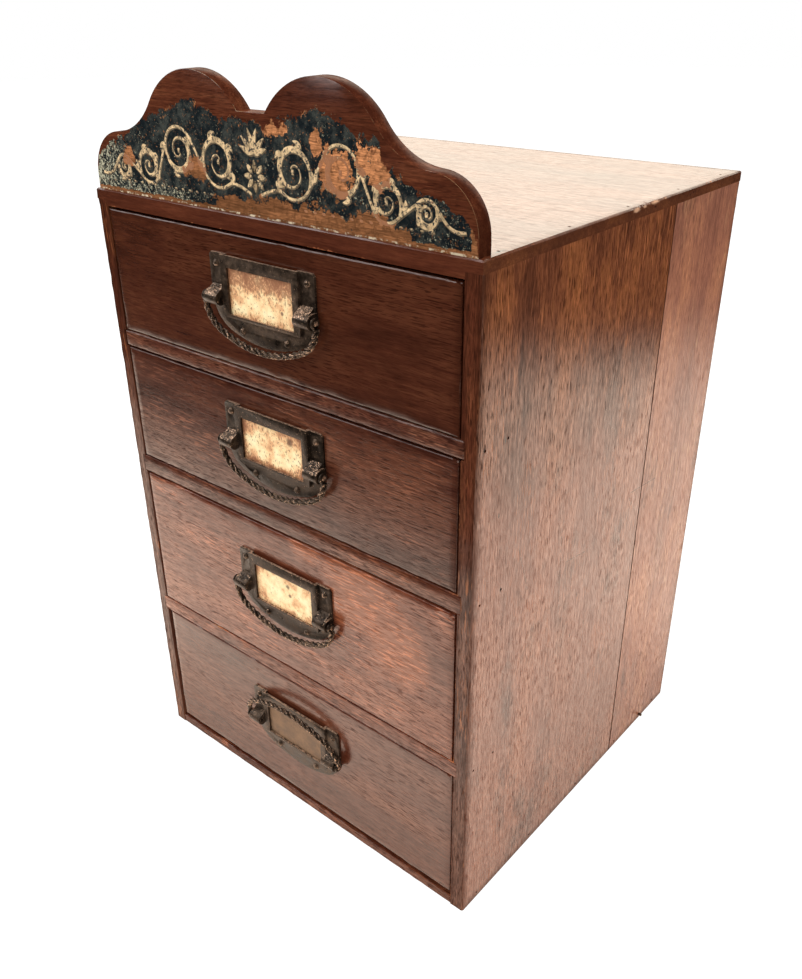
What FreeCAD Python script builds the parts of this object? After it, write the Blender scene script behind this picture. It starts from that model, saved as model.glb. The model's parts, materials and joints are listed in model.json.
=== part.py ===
import FreeCAD, Part
import math
import os

# A tabletop cabinet of nailed boards with four drawers, a shaped sign board on its top, and on each
# drawer a label plate that carries a bail handle.
#
# Millimetres. The origin is the centre of the carcass footprint, on the surface that it stands on.
# +X is to the right as the drawers face the user, +Y is towards the back and +Z is up.

V = FreeCAD.Vector
TINY = 1e-6

# Carcass
WIDTH = 300.0
DEPTH = 288.0
HEIGHT = 434.0
BOARD = 10.0                    # thickness of the sides and the top
BOTTOM_THICK = 7.5
TOP_LAP = 6.5                   # the part of the top board's thickness that lies over the sides
BACK_THICK = 6.0
BACK_REBATE = 4.8               # how far the back boards are let into the sides and the top
FRONT_PLANK = 196.0             # width of each side's front plank; the rear plank has the rest
EASE = 0.8                      # worn-off arrises

FRONT = -DEPTH / 2
REAR = DEPTH / 2
OUTER = WIDTH / 2
INNER = OUTER - BOARD
SIDE_TOP = HEIGHT - TOP_LAP
CEILING = HEIGHT - BOARD
BACK_FACE = REAR - BACK_THICK
PLANK_JOINT = FRONT + FRONT_PLANK

# The joint between the right side's planks has opened at its foot
OPEN_JOINT_TOP = 95.0
OPEN_JOINT_FOOT = 9.0
OPEN_JOINT_WIDTH = 1.1

# Front rails: underside and top of each, and the housings that take their ends
RAILS = {"upper": (331.0, 342.5), "middle": (236.5, 249.0), "lower": (115.0, 126.5)}
RAIL_DEPTH = 38.0
HOUSING = 2.3

# Drawer runners behind the rails
RUNNER_THICK = 10.0
RUNNER_WIDTH = 13.0

# Sign board: its top edge is three tangent circles on each side of a flat valley
SIGN_THICK = 10.0
SIGN_SETBACK = 1.0
SIGN_HALF = 146.5
HUMP_X, HUMP_Z, HUMP_R = 48.0, 459.9, 46.5
SHOULDER_X, SHOULDER_Z, SHOULDER_R = 118.5, 441.6, 28.0
COVE_R = 46.0
VALLEY_HALF = 10.5
DOWEL_R = 3.0
DOWEL_FIT = 0.05
DOWEL_LENGTH = 22.0
DOWEL_BELOW = 7.0               # how deep each dowel stands in the top board
DOWEL_X = (-112.0, 0.0, 112.0)

# Nails
NAIL = 1.6
NAIL_SINK = 0.6                 # how far the carcass nails are punched under the surface
SIDE_NAIL = 26.0
TOP_NAIL = 28.0
RUNNER_NAIL = 18.0
BACK_NAIL = 16.0
RAIL_NAIL_Y = (FRONT + 7.0, FRONT + 27.5)
BOTTOM_NAIL_Y = (-128.0, -64.0, 0.0, 60.0, 125.0)
TOP_NAIL_Y = (-125.0, -62.0, 0.0, 62.0, 122.0)
RUNNER_NAIL_Y = (-80.0, 15.0, 110.0)
BACK_NAIL_Z = (30.0, 120.0, 210.0, 270.0, 345.0, 415.0)
LOOSE_NAIL_Y = 102.0            # a nail that has worked out of the right side at its foot
LOOSE_NAIL_OUT = 2.6

# Drawers, from the top: floor and ceiling of the opening, the gaps round the front, the label
# plate's top edge and how far its bail is turned up from hanging
DRAWERS = (
    {"floor": 342.5, "ceiling": 424.0, "below": 0.7, "above": 1.6, "left": 1.0, "right": 1.2,
     "plate_top": 410.5, "bail_turn": 0.0},
    {"floor": 249.0, "ceiling": 331.0, "below": 0.7, "above": 0.4, "left": 1.0, "right": 1.2,
     "plate_top": 317.5, "bail_turn": 0.0},
    {"floor": 126.5, "ceiling": 236.5, "below": 0.3, "above": 1.6, "left": 1.2, "right": 1.5,
     "plate_top": 211.0, "bail_turn": 0.0},
    {"floor": 7.5, "ceiling": 115.0, "below": 3.5, "above": 0.3, "left": 3.6, "right": 0.7,
     "plate_top": 92.0, "bail_turn": 172.0},
)
FRONT_THICK = 12.0
FRONT_EASE = 0.4
FRONT_LIP = 4.0                 # what is left of the front before the drawer's sides
SIDE_THICK = 8.0
SIDE_INSET = 0.4                # the sides stand in from the front's ends
SIDE_LOWER = 2.5                # and stop below its top edge
RUN_GAP = 0.3                   # under the drawer's sides
DRAWER_END = BACK_FACE - 1.5
DRAWER_BACK_THICK = 8.0
DRAWER_BACK_SETBACK = 3.0
DRAWER_BACK_LOWER = 5.0
PANEL_THICK = 4.0
PANEL_LIFT = 6.0
GROOVE = 3.0
BOX_NAIL = 20.0
BOX_NAIL_X = (-90.0, 0.0, 90.0)

# Label plate, measured from its own centre line and top edge
PLATE_X = 0.5
PLATE_HALF = 42.5
PLATE_CLIP = 1.5
PLATE_THICK = 1.4
PLATE_DROP = 24.5               # from the bail's axis to the plate's lowest edge
PLATE_BELLY_R = 80.0
PLATE_CORNER_R = 22.0
AXIS_BELOW_TOP = 25.5
FRAME_HALF = 31.5
FRAME_HEIGHT = 36.5
FRAME_PROUD = 3.4
POCKET_HALF = 29.3
POCKET_HEIGHT = 35.3
POCKET_DEEP = 2.0
WINDOW_HALF = 26.5
WINDOW_FROM = 7.0
WINDOW_TO = 34.5
CARD_HALF = 28.8
CARD_FROM = 1.5
CARD_TO = 35.0
CARD_THICK = 0.5
PINS = ((-37.0, 6.0), (37.0, 6.0), (-18.5, 43.5), (18.5, 43.5))
PIN_R = 1.1
PIN_LENGTH = 9.0
PIN_HEAD_R = 2.3
PIN_HEAD_HIGH = 1.5
PIN_FIT = 0.05

# Bail and the bosses that it turns in
AXIS_PROUD = 4.8
BOSS_INNER = 31.5                # the frame's side, which each boss joins
BOSS_OUTER = 42.7
BOSS_R = 4.2
BOSS_UP = 4.5
BOSS_DOWN = 3.6
RAMP_UP = 7.2                  # above the bail's axis, where the plate starts to swell to a boss
RAMP_OUTER = 41.2
PIVOT_R = 1.5
PIVOT_FIT = 0.05
PIVOT_END = 38.6
PIVOT_BORE_END = 38.2
BAIL_R = 2.3
BAIL_HALF = 45.4
BAIL_DROP = 26.5
BAIL_BELLY_R = 80.0
BAIL_CORNER_R = 19.0


def box(x0, x1, y0, y1, z0, z1):
    return Part.makeBox(x1 - x0, y1 - y0, z1 - z0, V(x0, y0, z0))


def eased(solid, wanted, size=EASE):
    """Chamfer the edges whose ends and middle all pass the test wanted(point)."""
    edges = []
    for edge in solid.Edges:
        middle = edge.valueAt((edge.FirstParameter + edge.LastParameter) / 2)
        points = [vertex.Point for vertex in edge.Vertexes] + [middle]
        if all(wanted(p) for p in points):
            edges.append(edge)
    return solid.makeChamfer(size, edges)


def near(a, b):
    return abs(a - b) < TINY


def nail(head, way, length, sink=0.0):
    """A square nail driven from the point head along the axis way."""
    start = head + way * sink
    end = head + way * length
    low = []
    high = []
    for s, e, w in zip(start, end, way):
        spread = 0.0 if abs(w) > TINY else NAIL / 2
        low.append(min(s, e) - spread)
        high.append(max(s, e) + spread)
    return box(low[0], high[0], low[1], high[1], low[2], high[2])


def drive(fasteners, boards):
    """Cut the fasteners' holes in every board that they pass through."""
    holes = Part.Compound(fasteners)
    return {name: solid.cut(holes).removeSplitter() for name, solid in boards.items()}


def tangent_point(centre, radius, other):
    """The point of a circle that lies towards another circle's centre."""
    return centre + (other - centre).normalize() * radius


def arc(start, middle, end):
    return Part.Arc(start, middle, end).toShape()


def arc_about(centre, start, end):
    """The shorter arc about centre from start to end."""
    radius = (start - centre).Length
    halfway = ((start - centre) + (end - centre)).normalize() * radius
    return arc(start, centre + halfway, end)


def line(start, end):
    return Part.LineSegment(start, end).toShape()


# ---------------------------------------------------------------- carcass

def top_board():
    slab = box(-OUTER, OUTER, FRONT, REAR, SIDE_TOP, HEIGHT)
    slab = eased(slab, lambda p: near(p.z, HEIGHT))
    body = box(-INNER, INNER, FRONT, REAR, CEILING, SIDE_TOP)
    back = box(-INNER - BACK_REBATE, INNER + BACK_REBATE, BACK_FACE, REAR,
               CEILING, CEILING + BACK_REBATE)
    return slab.fuse(body).cut(back).removeSplitter()


def side_planks(name, hand):
    """The two planks of one side; hand is +1 for the right side and -1 for the left."""
    inner, outer = sorted((hand * INNER, hand * OUTER))
    front = box(inner, outer, FRONT, PLANK_JOINT, 0, SIDE_TOP)
    front = eased(front, lambda p: near(p.x, hand * OUTER) and near(p.y, FRONT))
    rear = box(inner, outer, PLANK_JOINT, REAR, 0, SIDE_TOP)
    rear = eased(rear, lambda p: near(p.x, hand * OUTER) and near(p.y, REAR))

    for low, high in RAILS.values():
        housing = sorted((hand * INNER, hand * (INNER + HOUSING)))
        front = front.cut(box(housing[0], housing[1], FRONT, FRONT + RAIL_DEPTH, low, high))
    rebate = sorted((hand * INNER, hand * (INNER + BACK_REBATE)))
    rear = rear.cut(box(rebate[0], rebate[1], BACK_FACE, REAR, 0, SIDE_TOP))
    if hand > 0:
        rear = rear.cut(open_joint())
    return {f"side_{name}_front_plank": front, f"side_{name}_rear_plank": rear}


def open_joint():
    """The thin wedge of air where the right side's two planks have parted."""
    corners = [V(INNER, PLANK_JOINT, OPEN_JOINT_TOP), V(INNER, PLANK_JOINT, OPEN_JOINT_FOOT),
               V(INNER, PLANK_JOINT + OPEN_JOINT_WIDTH, OPEN_JOINT_FOOT)]
    return Part.Face(Part.makePolygon(corners + corners[:1])).extrude(V(BOARD, 0, 0))


def rail(low, high):
    end = INNER + HOUSING
    return box(-end, end, FRONT, FRONT + RAIL_DEPTH, low, high)


def runner(top, hand):
    inner, outer = sorted((hand * (INNER - RUNNER_WIDTH), hand * INNER))
    return box(inner, outer, FRONT + RAIL_DEPTH, BACK_FACE, top - RUNNER_THICK, top)


def back_boards():
    """Two boards across the back, let into the sides and the top."""
    half = INNER + BACK_REBATE
    split = (RAILS["middle"][0] + RAILS["middle"][1]) / 2 - NAIL
    top = CEILING + BACK_REBATE
    return {"back_board_lower": box(-half, half, BACK_FACE, REAR, 0, split),
            "back_board_upper": box(-half, half, BACK_FACE, REAR, split, top)}


def sign_profile():
    """The sign board's outline in its front plane, from the left foot round to the right foot."""
    y = FRONT + SIGN_SETBACK
    valley_z = HUMP_Z + math.sqrt(HUMP_R ** 2 - (HUMP_X - VALLEY_HALF) ** 2)

    hump = V(HUMP_X, y, HUMP_Z)
    shoulder = V(SHOULDER_X, y, SHOULDER_Z)
    span = shoulder - hump
    to_cove = HUMP_R + COVE_R
    along = (to_cove ** 2 - (SHOULDER_R + COVE_R) ** 2 + span.Length ** 2) / (2 * span.Length)
    rise = math.sqrt(to_cove ** 2 - along ** 2)
    unit = V(span).normalize()
    cove = hump + unit * along + V(-unit.z, 0, unit.x) * rise

    foot = V(SIGN_HALF, y, HEIGHT)
    shoulder_end = V(SHOULDER_X + SHOULDER_R, y, SHOULDER_Z)
    shoulder_start = tangent_point(shoulder, SHOULDER_R, cove)
    hump_end = tangent_point(hump, HUMP_R, cove)
    hump_top = V(HUMP_X, y, HUMP_Z + HUMP_R)
    valley = V(VALLEY_HALF, y, valley_z)

    right = [line(foot, shoulder_end), arc_about(shoulder, shoulder_end, shoulder_start),
             arc_about(cove, shoulder_start, hump_end), arc(hump_end, hump_top, valley)]
    left = [edge.mirror(V(0, 0, 0), V(1, 0, 0)) for edge in right]
    across = [line(valley, V(-valley.x, y, valley_z)), line(foot, V(-foot.x, y, HEIGHT))]
    return Part.Wire(Part.__sortEdges__(right + left + across))


def sign_dowel_shapes(radius, above):
    """The dowels that join the sign board to the top board, or their holes."""
    y = FRONT + SIGN_SETBACK + SIGN_THICK / 2
    foot = HEIGHT - DOWEL_BELOW
    return [Part.makeCylinder(radius, DOWEL_LENGTH + above, V(x, y, foot)) for x in DOWEL_X]


def carcass_nails():
    """All nails of the carcass, and the same nails lengthened to the surface as holes."""
    nails = []
    holes = []

    def add(head, way, length, sink):
        nails.append(nail(head, way, length, sink))
        holes.append(nail(head, way, length))

    for hand in (-1, 1):
        inward = V(-hand, 0, 0)
        for low, high in RAILS.values():
            for y in RAIL_NAIL_Y:
                add(V(hand * OUTER, y, (low + high) / 2), inward, SIDE_NAIL, NAIL_SINK)
            for y in RUNNER_NAIL_Y:
                start = V(hand * (INNER - RUNNER_WIDTH), y, high - RUNNER_THICK / 2)
                add(start, -inward, RUNNER_NAIL, 0.0)
        for y in BOTTOM_NAIL_Y:
            add(V(hand * OUTER, y, BOTTOM_THICK / 2), inward, SIDE_NAIL, NAIL_SINK)
        for y in TOP_NAIL_Y:
            add(V(hand * (OUTER - BOARD / 2), y, HEIGHT), V(0, 0, -1), TOP_NAIL, NAIL_SINK)
        for z in BACK_NAIL_Z:
            edge_x = hand * (INNER + BACK_REBATE / 2)
            add(V(edge_x, REAR, z), V(0, -1, 0), BACK_NAIL, NAIL_SINK)
    loose = V(OUTER + LOOSE_NAIL_OUT, LOOSE_NAIL_Y, BOTTOM_THICK / 2)
    add(loose, V(-1, 0, 0), SIDE_NAIL, 0.0)
    return nails, holes


def carcass():
    boards = {"top_board": top_board()}
    boards.update(side_planks("left", -1))
    boards.update(side_planks("right", 1))
    boards["bottom_board"] = box(-INNER, INNER, FRONT, BACK_FACE, 0, BOTTOM_THICK)
    boards.update(back_boards())
    for level, (low, high) in RAILS.items():
        boards[f"rail_{level}"] = rail(low, high)
        boards[f"runner_{level}_left"] = runner(high, -1)
        boards[f"runner_{level}_right"] = runner(high, 1)

    nails, holes = carcass_nails()
    boards = drive(holes, boards)

    sign = Part.Face(sign_profile()).extrude(V(0, SIGN_THICK, 0))
    dowel_holes = sign_dowel_shapes(DOWEL_R + DOWEL_FIT, DOWEL_FIT)
    boards["top_board"] = boards["top_board"].cut(Part.Compound(dowel_holes))
    boards["sign_board"] = sign.cut(Part.Compound(dowel_holes))
    boards["sign_dowels"] = Part.Compound(sign_dowel_shapes(DOWEL_R, 0.0))
    boards["carcass_nails"] = Part.Compound(nails)
    return boards


# ---------------------------------------------------------------- drawers

def drawer_box(number, drawer):
    """The front, sides, back, bottom panel and nails of one drawer."""
    x0 = -INNER + drawer["left"]
    x1 = INNER - drawer["right"]
    z0 = drawer["floor"] + drawer["below"]
    z1 = drawer["ceiling"] - drawer["above"]
    run = drawer["floor"] + RUN_GAP
    side_top = z1 - SIDE_LOWER
    rebate_y = FRONT + FRONT_LIP
    behind_front = FRONT + FRONT_THICK
    panel_z = drawer["floor"] + PANEL_LIFT

    rebate_in = SIDE_INSET + SIDE_THICK
    left_in = x0 + rebate_in
    right_in = x1 - rebate_in
    back_y = DRAWER_END - DRAWER_BACK_SETBACK
    panel = box(left_in - GROOVE, right_in + GROOVE, behind_front - GROOVE, back_y,
                panel_z, panel_z + PANEL_THICK)

    front = box(x0, x1, FRONT, behind_front, z0, z1)
    front = eased(front, lambda p: near(p.y, FRONT), FRONT_EASE)
    front = front.cut(box(x0, left_in, rebate_y, behind_front, z0, z1))
    front = front.cut(box(right_in, x1, rebate_y, behind_front, z0, z1))
    left = box(left_in - SIDE_THICK, left_in, rebate_y, DRAWER_END, run, side_top)
    right = box(right_in, right_in + SIDE_THICK, rebate_y, DRAWER_END, run, side_top)
    back = box(left_in, right_in, back_y - DRAWER_BACK_THICK, back_y,
               panel_z + PANEL_THICK, side_top - DRAWER_BACK_LOWER)
    boards = {"front": front.cut(panel), "side_left": left.cut(panel),
              "side_right": right.cut(panel), "back": back, "bottom": panel}

    nails = []
    corner_y = (rebate_y + behind_front) / 2
    nailed_y = back_y - DRAWER_BACK_THICK / 2
    for head_x, way in ((left_in - SIDE_THICK, V(1, 0, 0)), (right_in + SIDE_THICK, V(-1, 0, 0))):
        for z in (panel_z + 3 * PANEL_THICK, (z0 + z1) / 2, side_top - SIDE_THICK):
            nails.append(nail(V(head_x, corner_y, z), way, BOX_NAIL))
        for z in (panel_z + 4 * PANEL_THICK, side_top - 2 * SIDE_THICK):
            nails.append(nail(V(head_x, nailed_y, z), way, BOX_NAIL))
    for x in BOX_NAIL_X:
        nails.append(nail(V(x, nailed_y, panel_z), V(0, 0, 1), BOX_NAIL))
    boards = drive(nails, boards)
    boards["nails"] = Part.Compound(nails)
    return {f"drawer_{number}_{name}": solid for name, solid in boards.items()}


# ---------------------------------------------------------------- label plate and bail

def hanging_curve(half, drop, belly_r, corner_r, x, y, z):
    """Two corner arcs and a flat belly arc, hung from (x-half, z) to (x+half, z)."""
    belly = V(x, y, z - drop + belly_r)
    fall = math.sqrt((belly_r - corner_r) ** 2 - (half - corner_r) ** 2)
    edges = []
    for hand in (-1, 1):
        corner = V(x + hand * (half - corner_r), y, belly.z - fall)
        outer = V(x + hand * half, y, corner.z)
        inner = tangent_point(corner, corner_r, corner * 2 - belly)
        edges.append((line(V(outer.x, y, z), outer), arc_about(corner, outer, inner), inner))
    (left_line, left_arc, start), (right_line, right_arc, end) = edges
    lowest = V(x, y, z - drop)
    return [left_line, left_arc, arc(start, lowest, end), right_arc, right_line]


def plate_outline(top):
    axis_z = top - AXIS_BELOW_TOP
    left = PLATE_X - PLATE_HALF
    right = PLATE_X + PLATE_HALF
    join_z = axis_z + PLATE_CLIP
    lobe = hanging_curve(PLATE_HALF, PLATE_DROP + PLATE_CLIP, PLATE_BELLY_R, PLATE_CORNER_R,
                         PLATE_X, FRONT, join_z)
    corners = [V(left, FRONT, join_z), V(left, FRONT, top - PLATE_CLIP),
               V(left + PLATE_CLIP, FRONT, top), V(right - PLATE_CLIP, FRONT, top),
               V(right, FRONT, top - PLATE_CLIP), V(right, FRONT, join_z)]
    sides = [line(a, b) for a, b in zip(corners, corners[1:])]
    return Part.Wire(Part.__sortEdges__(sides + lobe))


def plate_box(half, high, low, proud, behind=0.0):
    """A box on the drawer front, centred on the plate."""
    return box(PLATE_X - half, PLATE_X + half, FRONT - proud, FRONT + behind, low, high)


def boss(hand, axis_z):
    """One boss of the bail, with its blind bore open outwards."""
    low, high = sorted((PLATE_X + hand * BOSS_INNER, PLATE_X + hand * BOSS_OUTER))
    block = box(low, high, FRONT - AXIS_PROUD, FRONT, axis_z - BOSS_DOWN, axis_z + BOSS_UP)
    barrel = Part.makeCylinder(BOSS_R, high - low, V(low, FRONT - AXIS_PROUD, axis_z), V(1, 0, 0))
    # A ramp comes down the plate and runs out along a tangent of the barrel
    out = AXIS_PROUD - PLATE_THICK
    turn = math.atan2(RAMP_UP, out) + math.acos(BOSS_R / math.hypot(out, RAMP_UP))
    start, end = sorted((PLATE_X + hand * BOSS_INNER, PLATE_X + hand * RAMP_OUTER))
    outline = [(0, -BOSS_DOWN), (0, RAMP_UP), (-PLATE_THICK, RAMP_UP),
               (BOSS_R * math.cos(turn) - AXIS_PROUD, BOSS_R * math.sin(turn)),
               (-AXIS_PROUD, 0), (-AXIS_PROUD, -BOSS_DOWN)]
    points = [V(start, FRONT + y, axis_z + z) for y, z in outline]
    ramp = Part.Face(Part.makePolygon(points + points[:1])).extrude(V(end - start, 0, 0))
    return block.fuse([barrel, ramp])


def across_x(hand, inner, outer, radius, axis_z):
    """A round bar along X on the bail's axis."""
    low = min(PLATE_X + hand * inner, PLATE_X + hand * outer)
    return Part.makeCylinder(radius, outer - inner, V(low, FRONT - AXIS_PROUD, axis_z), V(1, 0, 0))


def plate_pin(x, z):
    """A round-headed pin through the plate into the drawer front."""
    seat = FRONT - PLATE_THICK
    tip = V(x, seat - PIN_HEAD_HIGH, z)
    dome_r = (PIN_HEAD_R ** 2 + PIN_HEAD_HIGH ** 2) / (2 * PIN_HEAD_HIGH)
    rim = V(x + PIN_HEAD_R, seat, z)
    shank = [V(x + PIN_R, seat, z), V(x + PIN_R, seat + PIN_LENGTH, z), V(x, seat + PIN_LENGTH, z)]
    outline = [arc_about(tip + V(0, dome_r, 0), tip, rim)]
    corners = [rim] + shank + [tip]
    outline += [line(a, b) for a, b in zip(corners, corners[1:])]
    return Part.Face(Part.Wire(outline)).revolve(tip, V(0, 1, 0), 360)


def label_plate(number, drawer, front):
    """The plate, its card and pins, and the drawer front with the pins' holes."""
    top = drawer["plate_top"]
    axis_z = top - AXIS_BELOW_TOP
    plate = Part.Face(plate_outline(top)).extrude(V(0, -PLATE_THICK, 0))
    plate = plate.fuse(plate_box(FRAME_HALF, top, top - FRAME_HEIGHT, FRAME_PROUD))
    plate = plate.fuse([boss(-1, axis_z), boss(1, axis_z)])
    plate = plate.cut(plate_box(POCKET_HALF, top, top - POCKET_HEIGHT, POCKET_DEEP))
    plate = plate.cut(plate_box(WINDOW_HALF, top - WINDOW_FROM, top - WINDOW_TO, FRAME_PROUD))
    for hand in (-1, 1):
        plate = plate.cut(across_x(hand, PIVOT_BORE_END, BOSS_OUTER, PIVOT_R + PIVOT_FIT, axis_z))

    pins = []
    for dx, down in PINS:
        x = PLATE_X + dx
        z = top - down
        hole = Part.makeCylinder(PIN_R + PIN_FIT, PLATE_THICK + PIN_LENGTH,
                                 V(x, FRONT - PLATE_THICK, z), V(0, 1, 0))
        plate = plate.cut(hole)
        front = front.cut(hole)
        pins.append(plate_pin(x, z))

    card = box(PLATE_X - CARD_HALF, PLATE_X + CARD_HALF, FRONT - POCKET_DEEP,
               FRONT - POCKET_DEEP + CARD_THICK, top - CARD_TO, top - CARD_FROM)
    return {f"label_plate_{number}": plate.removeSplitter(),
            f"card_{number}": card,
            f"plate_pins_{number}": Part.Compound(pins)}, front


def bail(drawer):
    """A bent rod with two pivot pins, turned about its axis from hanging."""
    axis_z = drawer["plate_top"] - AXIS_BELOW_TOP
    y = FRONT - AXIS_PROUD
    path = Part.Wire(hanging_curve(BAIL_HALF, BAIL_DROP, BAIL_BELLY_R, BAIL_CORNER_R,
                                   PLATE_X, y, axis_z))
    start = V(PLATE_X - BAIL_HALF, y, axis_z)
    section = Part.Wire(Part.makeCircle(BAIL_R, start, V(0, 0, 1)))
    rod = path.makePipeShell([section], True, False)
    pieces = []
    for hand in (-1, 1):
        pieces.append(Part.makeSphere(BAIL_R, V(PLATE_X + hand * BAIL_HALF, y, axis_z)))
        pieces.append(across_x(hand, PIVOT_END, BAIL_HALF, PIVOT_R, axis_z))
    solid = rod.fuse(pieces).removeSplitter()
    solid.rotate(V(PLATE_X, y, axis_z), V(-1, 0, 0), drawer["bail_turn"])
    return solid


def build():
    nodes = carcass()
    for number, drawer in enumerate(DRAWERS, 1):
        boards = drawer_box(number, drawer)
        front_name = f"drawer_{number}_front"
        fittings, boards[front_name] = label_plate(number, drawer, boards[front_name])
        nodes.update(boards)
        nodes.update(fittings)
        nodes[f"bail_{number}"] = bail(drawer)
    return nodes


os.makedirs("parts", exist_ok=True)
for node, shape in build().items():
    shape.exportStep(f"parts/{node}.step")
    print(f"{node:28s} solids {len(shape.Solids)}  valid {shape.isValid()}  {shape.Volume:12.1f} mm3")
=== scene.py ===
"""Dresses the drawer cabinet's frame: worn varnished boards, a flaking painted sign, bronzed pulls.

Metres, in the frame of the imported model: +X right as the drawers face the user, +Y back, +Z up.
"""

import json
import math
import random

import bpy
from mathutils import Matrix, Vector, noise


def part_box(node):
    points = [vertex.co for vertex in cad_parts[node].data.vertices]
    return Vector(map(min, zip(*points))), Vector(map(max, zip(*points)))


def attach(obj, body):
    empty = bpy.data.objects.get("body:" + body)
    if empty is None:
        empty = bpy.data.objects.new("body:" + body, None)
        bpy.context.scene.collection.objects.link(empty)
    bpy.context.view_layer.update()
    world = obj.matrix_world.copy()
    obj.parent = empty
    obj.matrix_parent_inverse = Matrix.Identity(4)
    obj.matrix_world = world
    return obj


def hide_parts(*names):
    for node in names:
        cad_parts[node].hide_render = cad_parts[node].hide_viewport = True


bl_info = {
    "name": "Dressed drawer cabinet",
    "version": (1, 0, 0),
    "blender": (4, 5, 0),
    "location": "3D View > Sidebar > Cabinet",
    "description": "Worn varnish, flaking paint and bronzed pulls for a small drawer cabinet",
    "category": "Object",
}

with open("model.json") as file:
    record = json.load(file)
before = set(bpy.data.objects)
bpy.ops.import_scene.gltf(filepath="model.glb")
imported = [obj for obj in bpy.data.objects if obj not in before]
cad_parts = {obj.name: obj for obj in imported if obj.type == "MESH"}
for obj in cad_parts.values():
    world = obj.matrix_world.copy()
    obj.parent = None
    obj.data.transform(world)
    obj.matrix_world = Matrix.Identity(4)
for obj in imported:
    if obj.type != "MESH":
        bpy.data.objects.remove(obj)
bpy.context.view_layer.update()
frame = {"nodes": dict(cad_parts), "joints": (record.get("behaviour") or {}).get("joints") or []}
MM = 0.001
DRAWERS = (1, 2, 3, 4)
SIDES = ("left", "right")
LEVELS = ("upper", "middle", "lower")

TOP_LOW, TOP_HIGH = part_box("top_board")
SIGN_LOW, SIGN_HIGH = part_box("sign_board")
FRONT_Y = TOP_LOW.y
HALF_WIDTH = TOP_HIGH.x
HEIGHT = TOP_HIGH.z


# ------------------------------------------------------------------ settings

def colour_property(name, description, default):
    return bpy.props.FloatVectorProperty(name=name, description=description, subtype="COLOR",
                                         size=3, min=0, max=1, default=default)


def length_property(name, description, default, most):
    return bpy.props.FloatProperty(name=name, description=description, unit="LENGTH",
                                   default=default, min=0, max=most)


def number_property(name, description, default, least=0.0):
    return bpy.props.FloatProperty(name=name, description=description, default=default,
                                   min=least)


class CabinetFinish(bpy.types.PropertyGroup):
    """Colours of the wood, the paint and the metal."""

    front_dark: colour_property(
        "Front, dark", "Deepest tone of the drawer fronts", (0.040, 0.009, 0.0045))
    front_middle: colour_property(
        "Front, middle", "Main tone of the drawer fronts", (0.108, 0.028, 0.0125))
    front_warm: colour_property(
        "Front, warm", "Where the fronts' varnish is thin", (0.21, 0.066, 0.028))
    side_dark: colour_property(
        "Side, dark", "Deepest tone of the sides", (0.065, 0.020, 0.010))
    side_middle: colour_property(
        "Side, middle", "Main tone of the sides", (0.19, 0.060, 0.026))
    side_warm: colour_property(
        "Side, warm", "Where the sides' varnish is thin", (0.36, 0.120, 0.042))
    bare_wood: colour_property(
        "Bare wood", "Wood where paint or varnish has gone", (0.50, 0.205, 0.085))
    pale_wood: colour_property(
        "Pale wood", "Unfinished wood of the drawer boxes", (0.42, 0.27, 0.14))
    sign_paint: colour_property(
        "Sign paint", "Dark ground of the sign board", (0.008, 0.0115, 0.0135))
    paint_bloom: colour_property(
        "Paint bloom", "Greyed parts of the sign's paint", (0.046, 0.050, 0.044))
    gilt: colour_property(
        "Gilt", "Scrollwork on the sign board", (0.70, 0.50, 0.27))
    bronze: colour_property(
        "Bronzed iron", "Plates and bails", (0.070, 0.046, 0.031))
    copper: colour_property(
        "Rubbed metal", "Metal where the bronzing has rubbed off", (0.74, 0.47, 0.31))
    card: colour_property(
        "Card", "Clean part of the foxed cards", (1.0, 0.86, 0.52))
    plain_card: colour_property(
        "Browned card", "Card of the lowest drawer", (0.185, 0.105, 0.055))


class CabinetSizes(bpy.types.PropertyGroup):
    """Sizes of the wear and of the rope twist."""

    cell: length_property(
        "Wear spacing", "Spacing of the cuts that let an arris wear unevenly", 0.005, 0.05)
    wear: length_property(
        "Arris wear", "Most that an arris has worn away", 0.0005, 0.003)
    strand_radius: length_property(
        "Strand radius", "Radius of a strand of the bails' rope twist", 0.00098, 0.005)
    strand_offset: length_property(
        "Strand offset", "Distance of a strand's middle from the rope's", 0.00108, 0.005)
    rope_pitch: length_property(
        "Rope pitch", "Length in which a strand goes once round", 0.0160, 0.05)
    pebble: length_property(
        "Pebble radius", "Radius of the pebbles cast on the bosses", 0.00048, 0.002)


class CabinetStage(bpy.types.PropertyGroup):
    """Camera and studio light."""

    camera_place: bpy.props.FloatVectorProperty(
        name="Camera place", description="Where the camera stands", subtype="TRANSLATION",
        size=3, default=(0.39346, -0.49113, 0.54348))
    lens: number_property("Lens", "Focal length in mm on a 36 mm sensor", 34.723, 10)
    key_power: number_property(
        "Overhead power", "Power of the overhead softbox in watts", 32.0)
    window_power: number_property(
        "Window power", "Power of the soft window on the left in watts", 22.0)
    room: number_property(
        "Room light", "Strength of the even light of the room", 0.75)
    sweep: number_property(
        "Sweep light", "Strength of the bright sweep in reflections", 3.4)
    sweep_tint: colour_property(
        "Sweep tint", "Colour of the bright sweep in reflections", (1.0, 0.82, 0.67))
    backdrop: number_property(
        "Backdrop light", "Strength of the bright backdrop in reflections", 1.8)
    backdrop_tint: colour_property(
        "Backdrop tint", "Colour of the bright backdrop in reflections", (1.0, 0.91, 0.76))
    shade: number_property(
        "Shade", "Strength of the dark side of the room in reflections", 0.02)


def finish():
    return bpy.context.scene.cabinet_finish


def sizes():
    return bpy.context.scene.cabinet_sizes


# ------------------------------------------------------------------ material nodes

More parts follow.
